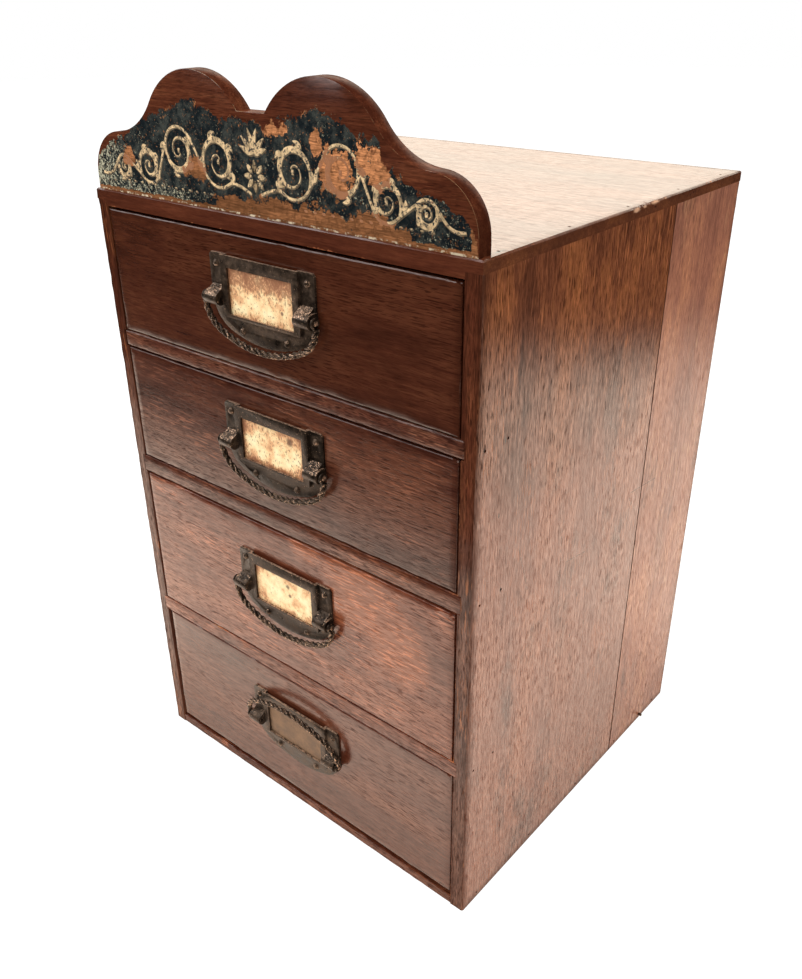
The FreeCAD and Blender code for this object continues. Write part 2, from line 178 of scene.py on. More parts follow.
class Reading:
    """A node's output. Arithmetic on it adds the nodes that work the result out."""

    def __init__(self, nodes, socket):
        self.nodes = nodes
        self.socket = socket

    def __add__(self, other):
        return self.nodes.math("ADD", self, other)

    def __sub__(self, other):
        return self.nodes.math("SUBTRACT", self, other)

    def __rsub__(self, other):
        return self.nodes.math("SUBTRACT", other, self)

    def __mul__(self, other):
        return self.nodes.math("MULTIPLY", self, other)

    def __abs__(self):
        return self.nodes.math("ABSOLUTE", self)

    __radd__ = __add__
    __rmul__ = __mul__

    def rise(self, low, high, to_low=0.0, to_high=1.0):
        """Smooth step from low to high; low may be the larger."""
        made = self.nodes.node("ShaderNodeMapRange", self, low, high, to_low, to_high,
                               interpolation_type="SMOOTHSTEP")
        return self.nodes.read(made)

    def level(self, low, high, to_low=0.0, to_high=1.0):
        """Straight slope from low to high, level outside them."""
        made = self.nodes.node("ShaderNodeMapRange", self, low, high, to_low, to_high)
        return self.nodes.read(made)


class Nodes:
    """A node tree whose nodes are added one after another."""

    def __init__(self, tree):
        self.tree = tree
        self.coordinates = self.node("ShaderNodeTexCoord")

    def read(self, node, output=0):
        return Reading(self, node.outputs[output])

    def feed(self, socket, value):
        """Give a socket a link, or a value of its own."""
        if isinstance(value, Reading):
            self.tree.links.new(value.socket, socket)
        elif socket.type == "RGBA":
            socket.default_value = (*value, 1)
        else:
            socket.default_value = value

    def fed(self, node, **inputs):
        """The node, with these of its inputs fed by name."""
        for name, value in inputs.items():
            self.feed(node.inputs[name.replace("_", " ")], value)
        return node

    def node(self, kind, *values, **settings):
        """Add a node, set it, and feed its inputs in order."""
        made = self.tree.nodes.new(kind)
        for key, value in settings.items():
            setattr(made, key, value)
        for socket, value in zip(made.inputs, values):
            self.feed(socket, value)
        return made

    def math(self, operation, *values, clamp=False):
        return self.read(self.node("ShaderNodeMath", *values, operation=operation,
                                   use_clamp=clamp))

    def vector(self, operation, *values, output=0):
        return self.read(self.node("ShaderNodeVectorMath", *values, operation=operation), output)

    def split(self, vector):
        made = self.node("ShaderNodeSeparateXYZ", vector)
        return [self.read(made, axis) for axis in range(3)]

    def switch(self, share, first, second):
        """The first shader, or the second by its share."""
        return self.read(self.node("ShaderNodeMixShader", share, first, second))

    def close(self, kind, shader):
        """Link the finished shader to the output of this kind."""
        self.feed(self.tree.nodes[f"{kind} Output"].inputs["Surface"], shader)


class Shade(Nodes):
    """A material on the object's own coordinates, with one principled shader."""

    def __init__(self, name):
        self.material = bpy.data.materials.new(name)
        self.material.use_nodes = True
        super().__init__(self.material.node_tree)
        self.shader = self.tree.nodes["Principled BSDF"]
        self.place = self.read(self.coordinates, "Object")
        self.x, self.y, self.z = self.split(self.place)

    def facing(self, axis):
        """How far a face looks along an axis, from -1 to 1."""
        return self.split(self.read(self.coordinates, "Normal"))[axis]

    def set(self, **inputs):
        """Feed the shader's own sockets."""
        self.fed(self.shader, **inputs)

    def either(self, *masks):
        """The strongest of several masks."""
        most = masks[0]
        for mask in masks[1:]:
            most = self.math("MAXIMUM", most, mask)
        return most

    def stretch(self, scale=(1, 1, 1), offset=(0, 0, 0), vector=None):
        """A place shifted by an offset and drawn out along the axes of small scale."""
        made = self.node("ShaderNodeMapping", vector or self.place, offset, (0, 0, 0), scale)
        return self.read(made)

    def noise(self, scale, detail, roughness, distortion=0.0, at=None):
        return self.read(self.fed(self.node("ShaderNodeTexNoise"), Vector=at or self.place,
                                  Scale=scale, Detail=detail, Roughness=roughness,
                                  Distortion=distortion))

    def cracks(self, scale):
        """How far a point is from the nearest edge between cells."""
        made = self.node("ShaderNodeTexVoronoi", self.place, feature="DISTANCE_TO_EDGE")
        return self.read(self.fed(made, Scale=scale), "Distance")

    def ramp(self, value, *stops):
        """A colour ramp; stops are (place, colour) pairs."""
        made = self.node("ShaderNodeValToRGB", value)
        band = made.color_ramp
        while len(band.elements) < len(stops):
            band.elements.new(1.0)
        for element, (place, colour) in zip(band.elements, stops):
            element.position = place
            element.color = (*colour, 1)
        return self.read(made)

    def shades(self, value, colour, dark, light):
        """The colour, times dark where the value is 0 and times light where it is 1."""
        return self.ramp(value, (0.0, tinted(colour, dark)), (0.5, colour),
                         (1.0, tinted(colour, light)))

    def profile(self, value, points):
        """A smooth curve through (input, output) points, all from 0 to 1."""
        made = self.fed(self.node("ShaderNodeFloatCurve"), Value=value)
        curve = made.mapping.curves[0]
        curve.points[0].location = points[0]
        curve.points[1].location = points[-1]
        for point in points[1:-1]:
            curve.points.new(*point)
        made.mapping.update()
        return self.read(made)

    def mix(self, share, first, second):
        """The first colour, or the second by its share."""
        made = self.fed(self.node("ShaderNodeMix", data_type="RGBA", clamp_factor=True),
                        Factor=share)
        self.feed(made.inputs[6], first)
        self.feed(made.inputs[7], second)
        return self.read(made, 2)

    def dim(self, colour, factor):
        made = self.node("ShaderNodeVectorMath", colour, operation="SCALE")
        return self.read(self.fed(made, Scale=factor))

    def offset_from(self, point):
        return self.vector("SUBTRACT", self.place, tuple(point))

    def spot(self, point, reach, ragged=0.5, scale=600, squash=(1, 1, 1)):
        """A mask round a point, with a ragged rim, longer where it is squashed."""
        offset = self.vector("MULTIPLY", self.offset_from(point), squash)
        away = self.vector("LENGTH", offset, output="Value")
        rim = away + self.noise(scale, 3, 0.6) * (reach * ragged)
        return rim.rise(reach * (0.55 + ragged), reach * (0.35 + ragged * 0.5))

    def scratch(self, start, end, width=0.0005):
        """A broken mask along the straight line from start to end."""
        run = Vector(end) - Vector(start)
        away = self.offset_from(start)
        share = self.math("MULTIPLY", self.vector("DOT_PRODUCT", away, run, output="Value"),
                          1 / run.length_squared, clamp=True)
        gap = self.vector("LENGTH", self.vector("SUBTRACT", away, self.dim(tuple(run), share)),
                          output="Value")
        return gap.rise(width, 0.4 * width) * self.noise(260, 2, 0.6).rise(0.36, 0.52)

    def edge_distance(self, low, high):
        """How far a point on a box is from the nearest edge of that box."""
        middle = (Vector(low) + Vector(high)) / 2
        half = (Vector(high) - Vector(low)) / 2
        away = self.vector("ABSOLUTE", self.offset_from(middle))
        x, y, z = self.split(self.vector("SUBTRACT", tuple(half), away))
        smaller = self.math("MINIMUM", x, y)
        return self.either(smaller, self.math("MINIMUM", self.either(x, y), z))

    def finished(self, height, distance, strength=1.0, coated=False):
        """The material, its surface raised by the height, and its coat too where it is coated."""
        raised = self.read(self.fed(self.node("ShaderNodeBump"), Strength=strength,
                                    Distance=distance, Height=height))
        self.set(Normal=raised)
        if coated:
            self.set(Coat_Normal=raised)
        return self.material


# ------------------------------------------------------------------ wood

# How far each kind of figure is drawn out along the grain
GRAIN, DASH, CLOUD = 0.07, 0.09, 0.4

# The first two: varnish worn thin low on the sides, and a painted sheen of the floor's reflection
# there
THIN_VARNISH_AND_SHEEN = (0.38, 0.150, 0.100)
THIN_STAINED_AND_SHEEN = (0.10, 0.050, 0.045)
CHIPPED_WOOD = (0.58, 0.33, 0.20)


def drawn_out(grain, share):
    """Scales that draw a pattern out along the grain's axis."""
    return tuple(share if axis == grain else 1 for axis in "XYZ")


def tinted(colour, gain):
    """The colour times a gain, or times one gain for each channel."""
    gains = gain if isinstance(gain, tuple) else (gain,) * 3
    return tuple(min(1.0, channel * g) for channel, g in zip(colour, gains))


def front_tones(gain=1.0):
    f = finish()
    return [tinted(c, gain) for c in (f.front_dark, f.front_middle, f.front_warm)]


def side_tones(gain=1.0):
    f = finish()
    return [tinted(c, gain) for c in (f.side_dark, f.side_middle, f.side_warm)]


def varnished(s, grain, seed, tones, fleck, pores, figure, turned=None, painted_highlight_mask=None):
    """Colour, height and soundness of old varnished hardwood.

    Its tones are dark, middle and warm, and figure is how strongly its fine grain shows. turned
    is a mask and the tones that the wood has there instead, and painted_highlight_mask is a mask
    of a painted highlight, drawn as bright flecks.
    """
    dark, middle, warm = tones
    shift = (seed * 0.37, seed * 0.71, seed * 0.53)
    along, short, cloud = (s.stretch(drawn_out(grain, share), shift)
                           for share in (GRAIN, DASH, CLOUD))
    broad = s.noise(45, 3, 0.55, 0.4, at=along)
    streak = s.noise(400, 4, 0.72, 0.2, at=along)
    hair = s.noise(1900, 2, 0.6, at=short)
    blotch = s.noise(26, 4, 0.62, at=cloud)

    centre, spread = 0.505, 0.105 / math.sqrt(figure)
    value = broad * 0.24 + (streak * 0.34 + blotch * 0.42)
    value = value.level(centre - spread, centre + spread)
    colour = s.ramp(value, (0.0, dark), (0.45, middle), (1.0, warm))
    if turned:
        mask, there = turned
        colour = s.mix(mask, colour, s.ramp(value, *zip((0.0, 0.45, 1.0), there)))
    contrast = 0.42 * figure
    colour = s.dim(colour, hair.level(0.36, 0.64, 1 - contrast, 1 + contrast))

    pore = s.noise(1300, 1, 0.5, at=short).rise(0.56, 0.64) * blotch.rise(0.34, 0.60, 0.35, 1.0)
    colour = s.mix(pore * pores, colour, tinted(dark, 0.4))
    rubbed = s.noise(800, 2, 0.6, at=s.stretch(offset=(0.3, 0.1, 0.2), vector=short))
    patch = s.noise(34, 3, 0.6, at=cloud).rise(0.47, 0.62, 0.0, fleck)
    # In the painted highlight more of the rubbed flecks turn bright
    if painted_highlight_mask:
        patch = s.either(patch, painted_highlight_mask * 0.9)
    colour = s.mix(rubbed.rise(0.53, 0.64) * patch, colour, tinted(warm, 2.4))
    sound = (hair.level(0.40, 0.60, 1 - contrast, 1.0)
             * streak.level(0.40, 0.60, 1 - 0.7 * contrast, 1.0)
             * pore.level(0, 1, 1.0, 1 - 0.95 * pores))
    height = hair * 0.8 + (streak * 0.8 + pore * -0.6)
    return colour, height, sound


def wood(name, grain, tones, seed, box, wear=1.0, fleck=0.35, relief=1.0, grime=0.5, pores=0.75,
         figure=1.0, coat=0.18, gloss=1.0, turned=None, faded_and_sheen=None, joint=None, bruises=(),
         bared=(), scratches=(), painted_highlight_spots=(), squash=(1, 1, 1)):
    """Old varnished board with its grain along one axis, worn and dirty along the box's edges.

    turned is an axis and the tones of the faces that look along it; faded_and_sheen gives the
    heights between which the varnish goes from sound to worn thin and paler, partly a painted sheen
    of the floor's reflection; coat is how rough the varnish is and gloss how much of it is left;
    joint is where along Y two planks meet; bruises, bared places and painted highlights are given
    by place and reach; squash draws the first two out along an axis.
    """
    s = Shade(name)
    if turned:
        axis, there = turned
        aside = abs(s.facing(axis)).rise(0.5, 0.9)
        turned = (aside, there)
    painted_highlight_mask = s.either(*(s.spot(place, reach, 0.9, 30) for place, reach in painted_highlight_spots)) if painted_highlight_spots else None
    colour, height, sound = varnished(s, grain, seed, tones, fleck, pores, figure, turned, painted_highlight_mask)
    dark, _, warm = tones
    # Painted highlight: a warm glow over the spots
    if painted_highlight_mask:
        colour = s.mix(painted_highlight_mask * 0.45, colour, tinted(warm, 1.2))
    stain = s.noise(30, 5, 0.7, at=s.stretch(drawn_out(grain, CLOUD), (seed, 0, 0)))
    stain = stain.rise(0.52, 0.72)
    colour = s.mix(stain * grime, colour, tinted(dark, 0.9))
    # Lower down the sides go paler: varnish worn thin, and a painted sheen of the floor's
    # reflection
    if faded_and_sheen:
        ragged_height = s.z + (s.noise(18, 3, 0.6) - 0.5) * 0.10
        gone = ragged_height.rise(*faded_and_sheen) * (1.0 - aside)
        colour = s.mix(gone * 0.42, colour, s.mix(stain, THIN_VARNISH_AND_SHEEN, THIN_STAINED_AND_SHEEN))
        relief = gone.level(0.0, 1.0, 0.06 * relief, relief)

    edge = s.edge_distance(*box)
    dirty = (edge - s.noise(75, 4, 0.7) * 0.009).rise(0.003, -0.004) * grime
    colour = s.mix(dirty, colour, tinted(dark, 0.7))
    reach = s.noise(34, 4, 0.75).level(0.50, 0.74, -0.0008, 0.0020 * wear)
    worn = (reach + s.noise(900, 3, 0.7) * 0.0010 - edge).rise(0.0003, 0.0009)
    scuffed = s.mix(s.noise(150, 3, 0.6).rise(0.50, 0.62), tinted(warm, 1.5), finish().bare_wood)
    colour = s.mix(worn * 0.8, colour, scuffed)
    sound = sound * s.either(worn, dirty).level(0, 1, 1.0, 0.25)
    sound = sound * edge.rise(0.0, 0.0005, 0.2, 1.0)

    if joint is not None:
        wide = s.noise(60, 3, 0.6) * 0.0008 + 0.00045
        gap = (abs(s.y - joint) - wide).rise(0.0, -0.0004)
        colour = s.mix(gap * 0.85, colour, tinted(dark, 0.35))
        sound = sound * (1.0 - gap)
    for place, reach in bruises:
        colour = s.mix(s.spot(place, reach, squash=squash), colour, tinted(dark, 0.3))
    for start, end in scratches:
        colour = s.mix(s.scratch(start, end) * 0.7, colour, tinted(dark, 0.5))
    for place, reach in bared:
        chipped = s.spot(place, reach, 0.9, squash=squash)
        colour = s.mix(chipped, colour, CHIPPED_WOOD)
        sound = sound * (1.0 - chipped)
    s.set(Base_Color=colour, Roughness=s.noise(90, 4, 0.6).level(0.32, 0.68, 0.28, 0.44),
          Specular_IOR_Level=0.0, Coat_Weight=sound * gloss, Coat_Roughness=coat)
    return s.finished(height * relief, 0.00005, coated=True)


def raw_wood(name, grain, seed, tone=1.0):
    """Unfinished pale softwood, a little dirty."""
    s = Shade(name)
    shift = (seed * 0.41, seed * 0.23, seed * 0.67)
    along = s.stretch(drawn_out(grain, GRAIN), shift)
    rings = s.noise(90, 5, 0.65, 0.8, at=along)
    streak = s.noise(420, 4, 0.7, 0.2, at=along)
    hair = s.noise(1200, 2, 0.6, at=s.stretch(drawn_out(grain, DASH), shift))
    dirt = s.noise(30, 5, 0.7, at=s.stretch(offset=shift))
    value = (rings * 0.55 + (streak * 0.30 + hair * 0.15)).level(0.38, 0.62)
    pale = tinted(finish().pale_wood, tone)
    dark = tinted(pale, 0.35)
    colour = s.shades(value, pale, 0.5, 1.3)
    colour = s.mix(hair.rise(0.58, 0.68, 0.0, 0.5), colour, dark)
    colour = s.mix(dirt.rise(0.48, 0.70, 0.0, 0.6), colour, dark)
    s.set(Base_Color=colour, Roughness=hair.level(0.3, 0.7, 0.6, 0.8))
    return s.finished(hair + streak * 0.8, 0.0002, 0.7)


# ------------------------------------------------------------------ mesh helpers

def deselect():
    if bpy.context.object and bpy.context.object.mode != "OBJECT":
        bpy.ops.object.mode_set(mode="OBJECT")
    bpy.ops.object.select_all(action="DESELECT")


def activate(piece):
    deselect()
    piece.select_set(True)
    bpy.context.view_layer.objects.active = piece


def link(name, data):
    piece = bpy.data.objects.new(name, data)
    bpy.context.scene.collection.objects.link(piece)
    return piece


def edit(piece, kind="VERT", pick="DESELECT"):
    """Enter edit mode with this kind of selection, and all or nothing selected."""
    activate(piece)
    bpy.ops.object.mode_set(mode="EDIT")
    bpy.ops.mesh.select_mode(type=kind)
    bpy.ops.mesh.select_all(action=pick)


def leave():
    bpy.ops.object.mode_set(mode="OBJECT")


def soften(piece, wanted, size, segments=1):
    """Bevel the edges whose two ends pass wanted(point)."""
    edit(piece, "EDGE")
    leave()
    mesh = piece.data
    for edge in mesh.edges:
        edge.select = all(wanted(mesh.vertices[i].co) for i in edge.vertices)
    bpy.ops.object.mode_set(mode="EDIT")
    bpy.ops.mesh.bevel(offset=size, offset_type="OFFSET", segments=segments, affect="EDGES",
                       clamp_overlap=True)
    leave()


def near(a, b):
    """Whether two places along an axis are the same but for rounding."""
    return abs(a - b) < 0.00002


def apply(piece, kind, **settings):
    """Add a modifier, set it and apply it."""
    activate(piece)
    modifier = piece.modifiers.new(kind.title(), kind)
    for key, value in settings.items():
        setattr(modifier, key, value)
    bpy.ops.object.modifier_apply(modifier=modifier.name)


def settle(piece):
    """Put an object's place, turn and scale into its mesh."""
    activate(piece)
    bpy.ops.object.transform_apply(location=True, rotation=True, scale=True)
    return piece


def join(pieces, name):
    activate(pieces[0])
    for piece in pieces[1:]:
        piece.select_set(True)
    bpy.ops.object.join()
    made = bpy.context.object
    made.name = name
    return settle(made)


def outward(piece):
    """Point every face of a closed piece outwards."""
    edit(piece, pick="SELECT")
    bpy.ops.mesh.normals_make_consistent(inside=False)
    leave()
    return piece


def give(piece, *materials):
    """Give a piece these materials instead of its own."""
    piece.data.materials.clear()
    for material in materials:
        piece.data.materials.append(material)


def paint_node(node, material):
    """Give a node that stays as it is its material."""
    give(frame["nodes"][node], material)


def dress(piece, body, nodes, slot, *materials, angle=35.0):
    """Finish a piece: its materials, its smooth faces, its body and what it stands for."""
    if materials:
        give(piece, *materials)
    activate(piece)
    bpy.ops.object.shade_smooth_by_angle(angle=math.radians(angle))
    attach(piece, body)
    if nodes:
        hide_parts(*nodes)


def copy_of(node, name):
    """A merged copy of a node, with each flat face in one piece."""
    piece = link(name, frame["nodes"][node].data.copy())
    edit(piece, pick="SELECT")
    bpy.ops.mesh.remove_doubles(threshold=1e-6)
    bpy.ops.mesh.customdata_custom_splitnormals_clear()
    bpy.ops.mesh.dissolve_limited(angle_limit=math.radians(0.5))
    leave()
    return piece


def cut_across(piece, axes, rim=0.0013):
    """Cut a board across, evenly and close to its ends, so that its arrises can wear unevenly."""
    low, high = (Vector(c) for c in (piece.bound_box[0], piece.bound_box[6]))
    edit(piece)
    for axis in axes:
        length = high[axis] - low[axis]
        number = int(length / sizes().cell)
        normal = Vector((0, 0, 0))
        normal[axis] = 1
        for along in (rim, *(length * i / number for i in range(1, number)), length - rim):
            point = low.copy()
            point[axis] += along
            bpy.ops.mesh.select_all(action="SELECT")
            bpy.ops.mesh.bisect(plane_co=point, plane_no=normal)
    leave()


def wear_arrises(piece, share=1.0):
    """Wear the sloping faces of a board's arrises away unevenly, by a share of the most."""
    flat = 0.999                # of a normal's largest part, on a face along an axis
    group = piece.vertex_groups.new(name="arris")
    chosen = set()
    for face in piece.data.polygons:
        if max(abs(c) for c in face.normal) < flat:
            chosen.update(face.vertices)
    group.add(sorted(chosen), 1.0, "REPLACE")
    texture = bpy.data.textures.new("Arris wear", "CLOUDS")
    texture.noise_scale = 0.006
    texture.noise_depth = 3
    texture.contrast = 1.6
    apply(piece, "DISPLACE", texture=texture, texture_coords="GLOBAL", vertex_group="arris",
          strength=-sizes().wear * share, mid_level=0.0, direction="NORMAL")
    piece.vertex_groups.clear()


def chip(piece, centre, reach, depth, inward):
    """Knock a rough chip out of an arris."""
    edit(piece, "FACE")
    leave()
    for face in piece.data.polygons:
        face.select = (face.center - centre).length < reach * 1.4 + 0.003
    bpy.ops.object.mode_set(mode="EDIT")
    bpy.ops.mesh.subdivide(number_cuts=4)
    leave()
    for vertex in piece.data.vertices:
        away = (vertex.co - centre).length / reach
        if away < 1:
            rough = 0.7 + 0.6 * noise.noise(vertex.co * 900)
            vertex.co += inward * (depth * rough * (1 - away * away))


def worn_board(node, name, axes, chips=()):
    """A copy of a board with unevenly worn arrises and chips."""
    piece = copy_of(node, name)
    cut_across(piece, axes)
    wear_arrises(piece)
    for centre, reach, depth, inward in chips:
        chip(piece, Vector(centre), reach, depth, Vector(inward))
    return piece


# ------------------------------------------------------------------ carcass

# Marks in mm, each with how far it reaches. On the top: across, along and below its upper face;
# on its right arris: along and below; on both sides: along and up
TOP_BRUISES = ((146, -125, 0, 2.2), (149, 24, 3.5, 1.5), (120, -116, 0, 1.2), (90, 30, 0, 1.2),
               (20, -40, 0, 1.1))
TOP_BARED = ((2, 1.8, 1.7), (11, 1.4, 1.0), (24, 0.6, 1.9), (36, 0.2, 1.1))
TOP_SPLINTERS = (4, 16, 30)     # along the right arris
SPLINTER = 0.0075, 0.0004, (-0.5, 0, -0.8)      # reach, depth and way inwards
SIDE_DENTS = ((-119, 336.5, 1.3), (-138, 337.5, 0.9), (-122, 293, 0.9), (-117, 243, 1.1),
              (-26, 191.5, 0.9), (38.5, 232, 0.9), (36, 236, 0.8), (26.5, 209, 1.3),
              (-13.5, 162.5, 0.9), (-31, 161, 0.8))
SIDE_SCRATCHES = (((-44, 225.5), (-21, 222)), ((36.5, 241), (72, 237.5)),
                  ((-52.5, 248), (-49, 190)), ((-100, 262), (-88, 228)))
# What sets the planks, the rails and the drawer fronts apart; tones are gains on the settings'
PLANK_LOOKS = {
    "front": {"tones": 0.86, "coat": 0.16, "gloss": 1.0, "faded_and_sheen": (0.35, 0.26)},
    # The rear plank's tones are paler and greyer: partly its own wood, partly a painted sheen of
    # reflected light
    "rear": {"tones": (1.65, 2.1, 2.75), "coat": 0.24, "gloss": 0.85, "faded_and_sheen": (0.60, 0.34)},
}
RAIL_LOOKS = {
    "upper": {"tones": (1.0, 1.25, 1.6), "fleck": 0.6, "wear": 1.2, "grime": 0.4},
    "middle": {"tones": 0.9, "fleck": 0.5, "wear": 0.6, "grime": 0.3},
    "lower": {"tones": 1.3, "fleck": 0.5, "wear": 0.8, "grime": 0.1},
}
JOINT_ARRIS = 0.00025           # where a side's two planks meet
# How far each rail's front arrises are rounded in mm, and its share of the uneven wear
RAIL_WEAR = {"upper": (2.0, 1.0), "middle": (0.5, 0.5), "lower": (0.25, 0.2)}


class CABINET_OT_carcass(bpy.types.Operator):
    """Dress the top, sides, rails and bottom board in worn varnished wood"""

    bl_idname = "cabinet.carcass"
    bl_label = "Carcass boards"

    def execute(self, context):
        self.top()
        for hand, side in zip((-1, 1), SIDES):
            self.side(hand, side)
        for seed, level in enumerate(LEVELS):
            self.rail(seed, level)
        self.crossbar("bottom_board", "worn_bottom", 0.6, 1, 0.6,
                      wood("Bottom varnish", "X", front_tones(1.3), 29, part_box("bottom_board"),
                           fleck=0.7))
        return {"FINISHED"}

    def top(self):
        splinters = [((HALF_WIDTH, y * MM, HEIGHT), *SPLINTER) for y in TOP_SPLINTERS]
        top = worn_board("top_board", "worn_top", (0, 1), splinters)
        bared = [(Vector((HALF_WIDTH, y * MM, HEIGHT - drop * MM)), reach * MM)
                 for y, drop, reach in TOP_BARED]
        bruises = [(Vector((x * MM, y * MM, HEIGHT - drop * MM)), reach * MM)
                   for x, y, drop, reach in TOP_BRUISES]
        material = wood("Top varnish", "X", front_tones(0.95), 3, (TOP_LOW, TOP_HIGH), relief=0.3,
                        fleck=0.08, pores=0.25, figure=0.35, grime=0.25,
                        turned=(0, side_tones(0.62)),
                        bruises=bruises, bared=bared, squash=(1, 0.3, 1))
        dress(top, "cabinet", ["top_board"], "case_wood", material)

    def side(self, hand, side):
        def on_side(y, z):
            return Vector((hand * HALF_WIDTH, y * MM, z * MM))

        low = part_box(f"side_{side}_front_plank")[0]
        rear_low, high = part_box(f"side_{side}_rear_plank")
        joint = rear_low.y
        high.z = HEIGHT
        dents = [(on_side(y, z), reach * MM) for y, z, reach in SIDE_DENTS]
        scratches = [[on_side(*end) for end in ends] for ends in SIDE_SCRATCHES]
        for seed, (part, looks) in enumerate(PLANK_LOOKS.items()):
            node = f"side_{side}_{part}_plank"
            plank = worn_board(node, f"worn_{node}", (1, 2))
            soften(plank, lambda p: near(abs(p.x), HALF_WIDTH) and near(p.y, joint),
                   JOINT_ARRIS)
            looks = {**looks, "tones": side_tones(looks["tones"])}
            material = wood(f"Side varnish {side} {part}", "Z", seed=11 + seed + 5 * hand,
                            box=(low, high), turned=(1, front_tones(0.9)), relief=2.2, wear=0.5,
                            pores=0.8, joint=joint, bruises=dents, scratches=scratches,
                            squash=(1, 1, 0.35), **looks)
            dress(plank, "cabinet", [node], "case_wood", material)

    def rail(self, seed, level):
        node = f"rail_{level}"
        looks = {**RAIL_LOOKS[level], "tones": front_tones(RAIL_LOOKS[level]["tones"])}
        rounded, share = RAIL_WEAR[level]
        self.crossbar(node, f"worn_{node}", rounded, 3, share,
                      wood(f"Rail varnish {level}", "X", seed=21 + seed, box=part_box(node),
                           **looks))

    def crossbar(self, node, name, rounded, segments, share, material):
        """A board between the sides, its front arrises rounded in mm and then worn."""
        bar = copy_of(node, name)
        soften(bar, lambda p: near(p.y, FRONT_Y), rounded * MM, segments)
        cut_across(bar, (0,))
        wear_arrises(bar, share)
        dress(bar, "cabinet", [node], "case_wood", material)


class CABINET_OT_inner_wood(bpy.types.Operator):
    """Give the back boards, runners and drawer boxes raw softwood"""

    bl_idname = "cabinet.inner_wood"
    bl_label = "Inner wood"

    def execute(self, context):
        across = raw_wood("Raw wood across", "X", 1, 0.8)
        for level in ("upper", "lower"):
            paint_node(f"back_board_{level}", across)
        lengthwise = raw_wood("Raw wood lengthwise", "Y", 2)
        for level in LEVELS:
            for side in SIDES:
                paint_node(f"runner_{level}_{side}", lengthwise)
        for number in DRAWERS:
            for seed, side in enumerate(SIDES):
                paint_node(f"drawer_{number}_side_{side}",
                           raw_wood(f"Box side {number} {side}", "Y", 2 * number + seed))
            paint_node(f"drawer_{number}_back", raw_wood(f"Box back {number}", "X", number + 7))
            paint_node(f"drawer_{number}_bottom",
                       raw_wood(f"Box bottom {number}", "X", number + 12, 0.9))
        return {"FINISHED"}


# ------------------------------------------------------------------ sign board

# The paint's upper edge in mm: across the board and up
PAINT_EDGE = ((-146.5, 444), (-140, 456), (-132, 461), (-112, 468), (-97, 476), (-71, 483),
              (-50, 491), (-36, 486), (-24, 483.5), (5, 482.5), (28, 486), (50, 490.5),
              (64, 487), (75, 481.5), (86, 480), (90, 473), (99.5, 465), (110, 459.5),
              (123, 457), (134, 452.5), (141, 449), (146.5, 438))
EDGE_SPAN = 0.1                 # height that the edge's curve covers, from the board's foot
# Where the paint ends on the right, and how far above the board's foot it begins
PAINT_RIGHT, PAINT_FOOT = 0.1422, 0.0026
# Where the paint has flaked to the wood in mm: centre across and up, half width and half height
FLAKES = ((-111.6, 456, 5, 6), (-50.5, 455, 9, 6), (17, 482, 10, 5), (46.6, 475, 4, 6.5),
          (59, 462, 12, 12), (77, 470.5, 6, 8), (88.5, 468, 7, 10), (-18, 438, 16, 5),
          (14, 438.5, 22, 6.5), (50, 438.5, 22, 7), (82, 439, 18, 7.5), (99, 438, 8, 3.5))

# How far the board's front and back arrises are rounded, above its foot
SIGN_ARRISES = {SIGN_LOW.y: 0.0011, SIGN_HIGH.y: 0.0009}
ABOVE_FOOT = 0.0001
DUST = (0.50, 0.47, 0.33)
RUST_SPECKS = (0.30, 0.13, 0.05)
CHALK = (0.72, 0.60, 0.42)
WORN_AND_HIGHLIT_ARRIS = (0.62, 0.40, 0.20)


def paint_masks(s):
    """Where the sign's paint is, and how far below its upper edge a point is."""
    span = SIGN_HIGH.x
    ragged = s.noise(170, 4, 0.65) - 0.5
    wobble = s.noise(620, 3, 0.6) - 0.5
    lift = ragged * 0.018 + wobble * 0.004
    points = [((x * MM + span) / (2 * span), (z * MM - HEIGHT) / EDGE_SPAN)
              for x, z in PAINT_EDGE]
    edge = s.profile(s.x.level(-span, span), points) * EDGE_SPAN + HEIGHT
    inside = edge - s.z + lift
    right = PAINT_RIGHT - (s.x + lift * 0.35)
    foot = s.z + lift * 0.25 - (HEIGHT + PAINT_FOOT)
    mask = 1.0
    for reach in (inside, right, foot):
        mask = mask * reach.rise(-0.00015, 0.00015)
    flaked = 9.0
    for x, z, half_width, half_height in FLAKES:
        away = s.offset_from((x * MM, 0, z * MM))
        away = s.stretch((1 / (half_width * MM), 0, 1 / (half_height * MM)), vector=away)
        flaked = s.math("MINIMUM", flaked, s.vector("LENGTH", away, output="Value"))
    flaked = flaked + (ragged * 2.4 + wobble * 0.8)
    specks = s.noise(520, 4, 0.7).rise(0.655, 0.675)
    return mask * flaked.rise(0.97, 1.03) * (1.0 - specks), inside


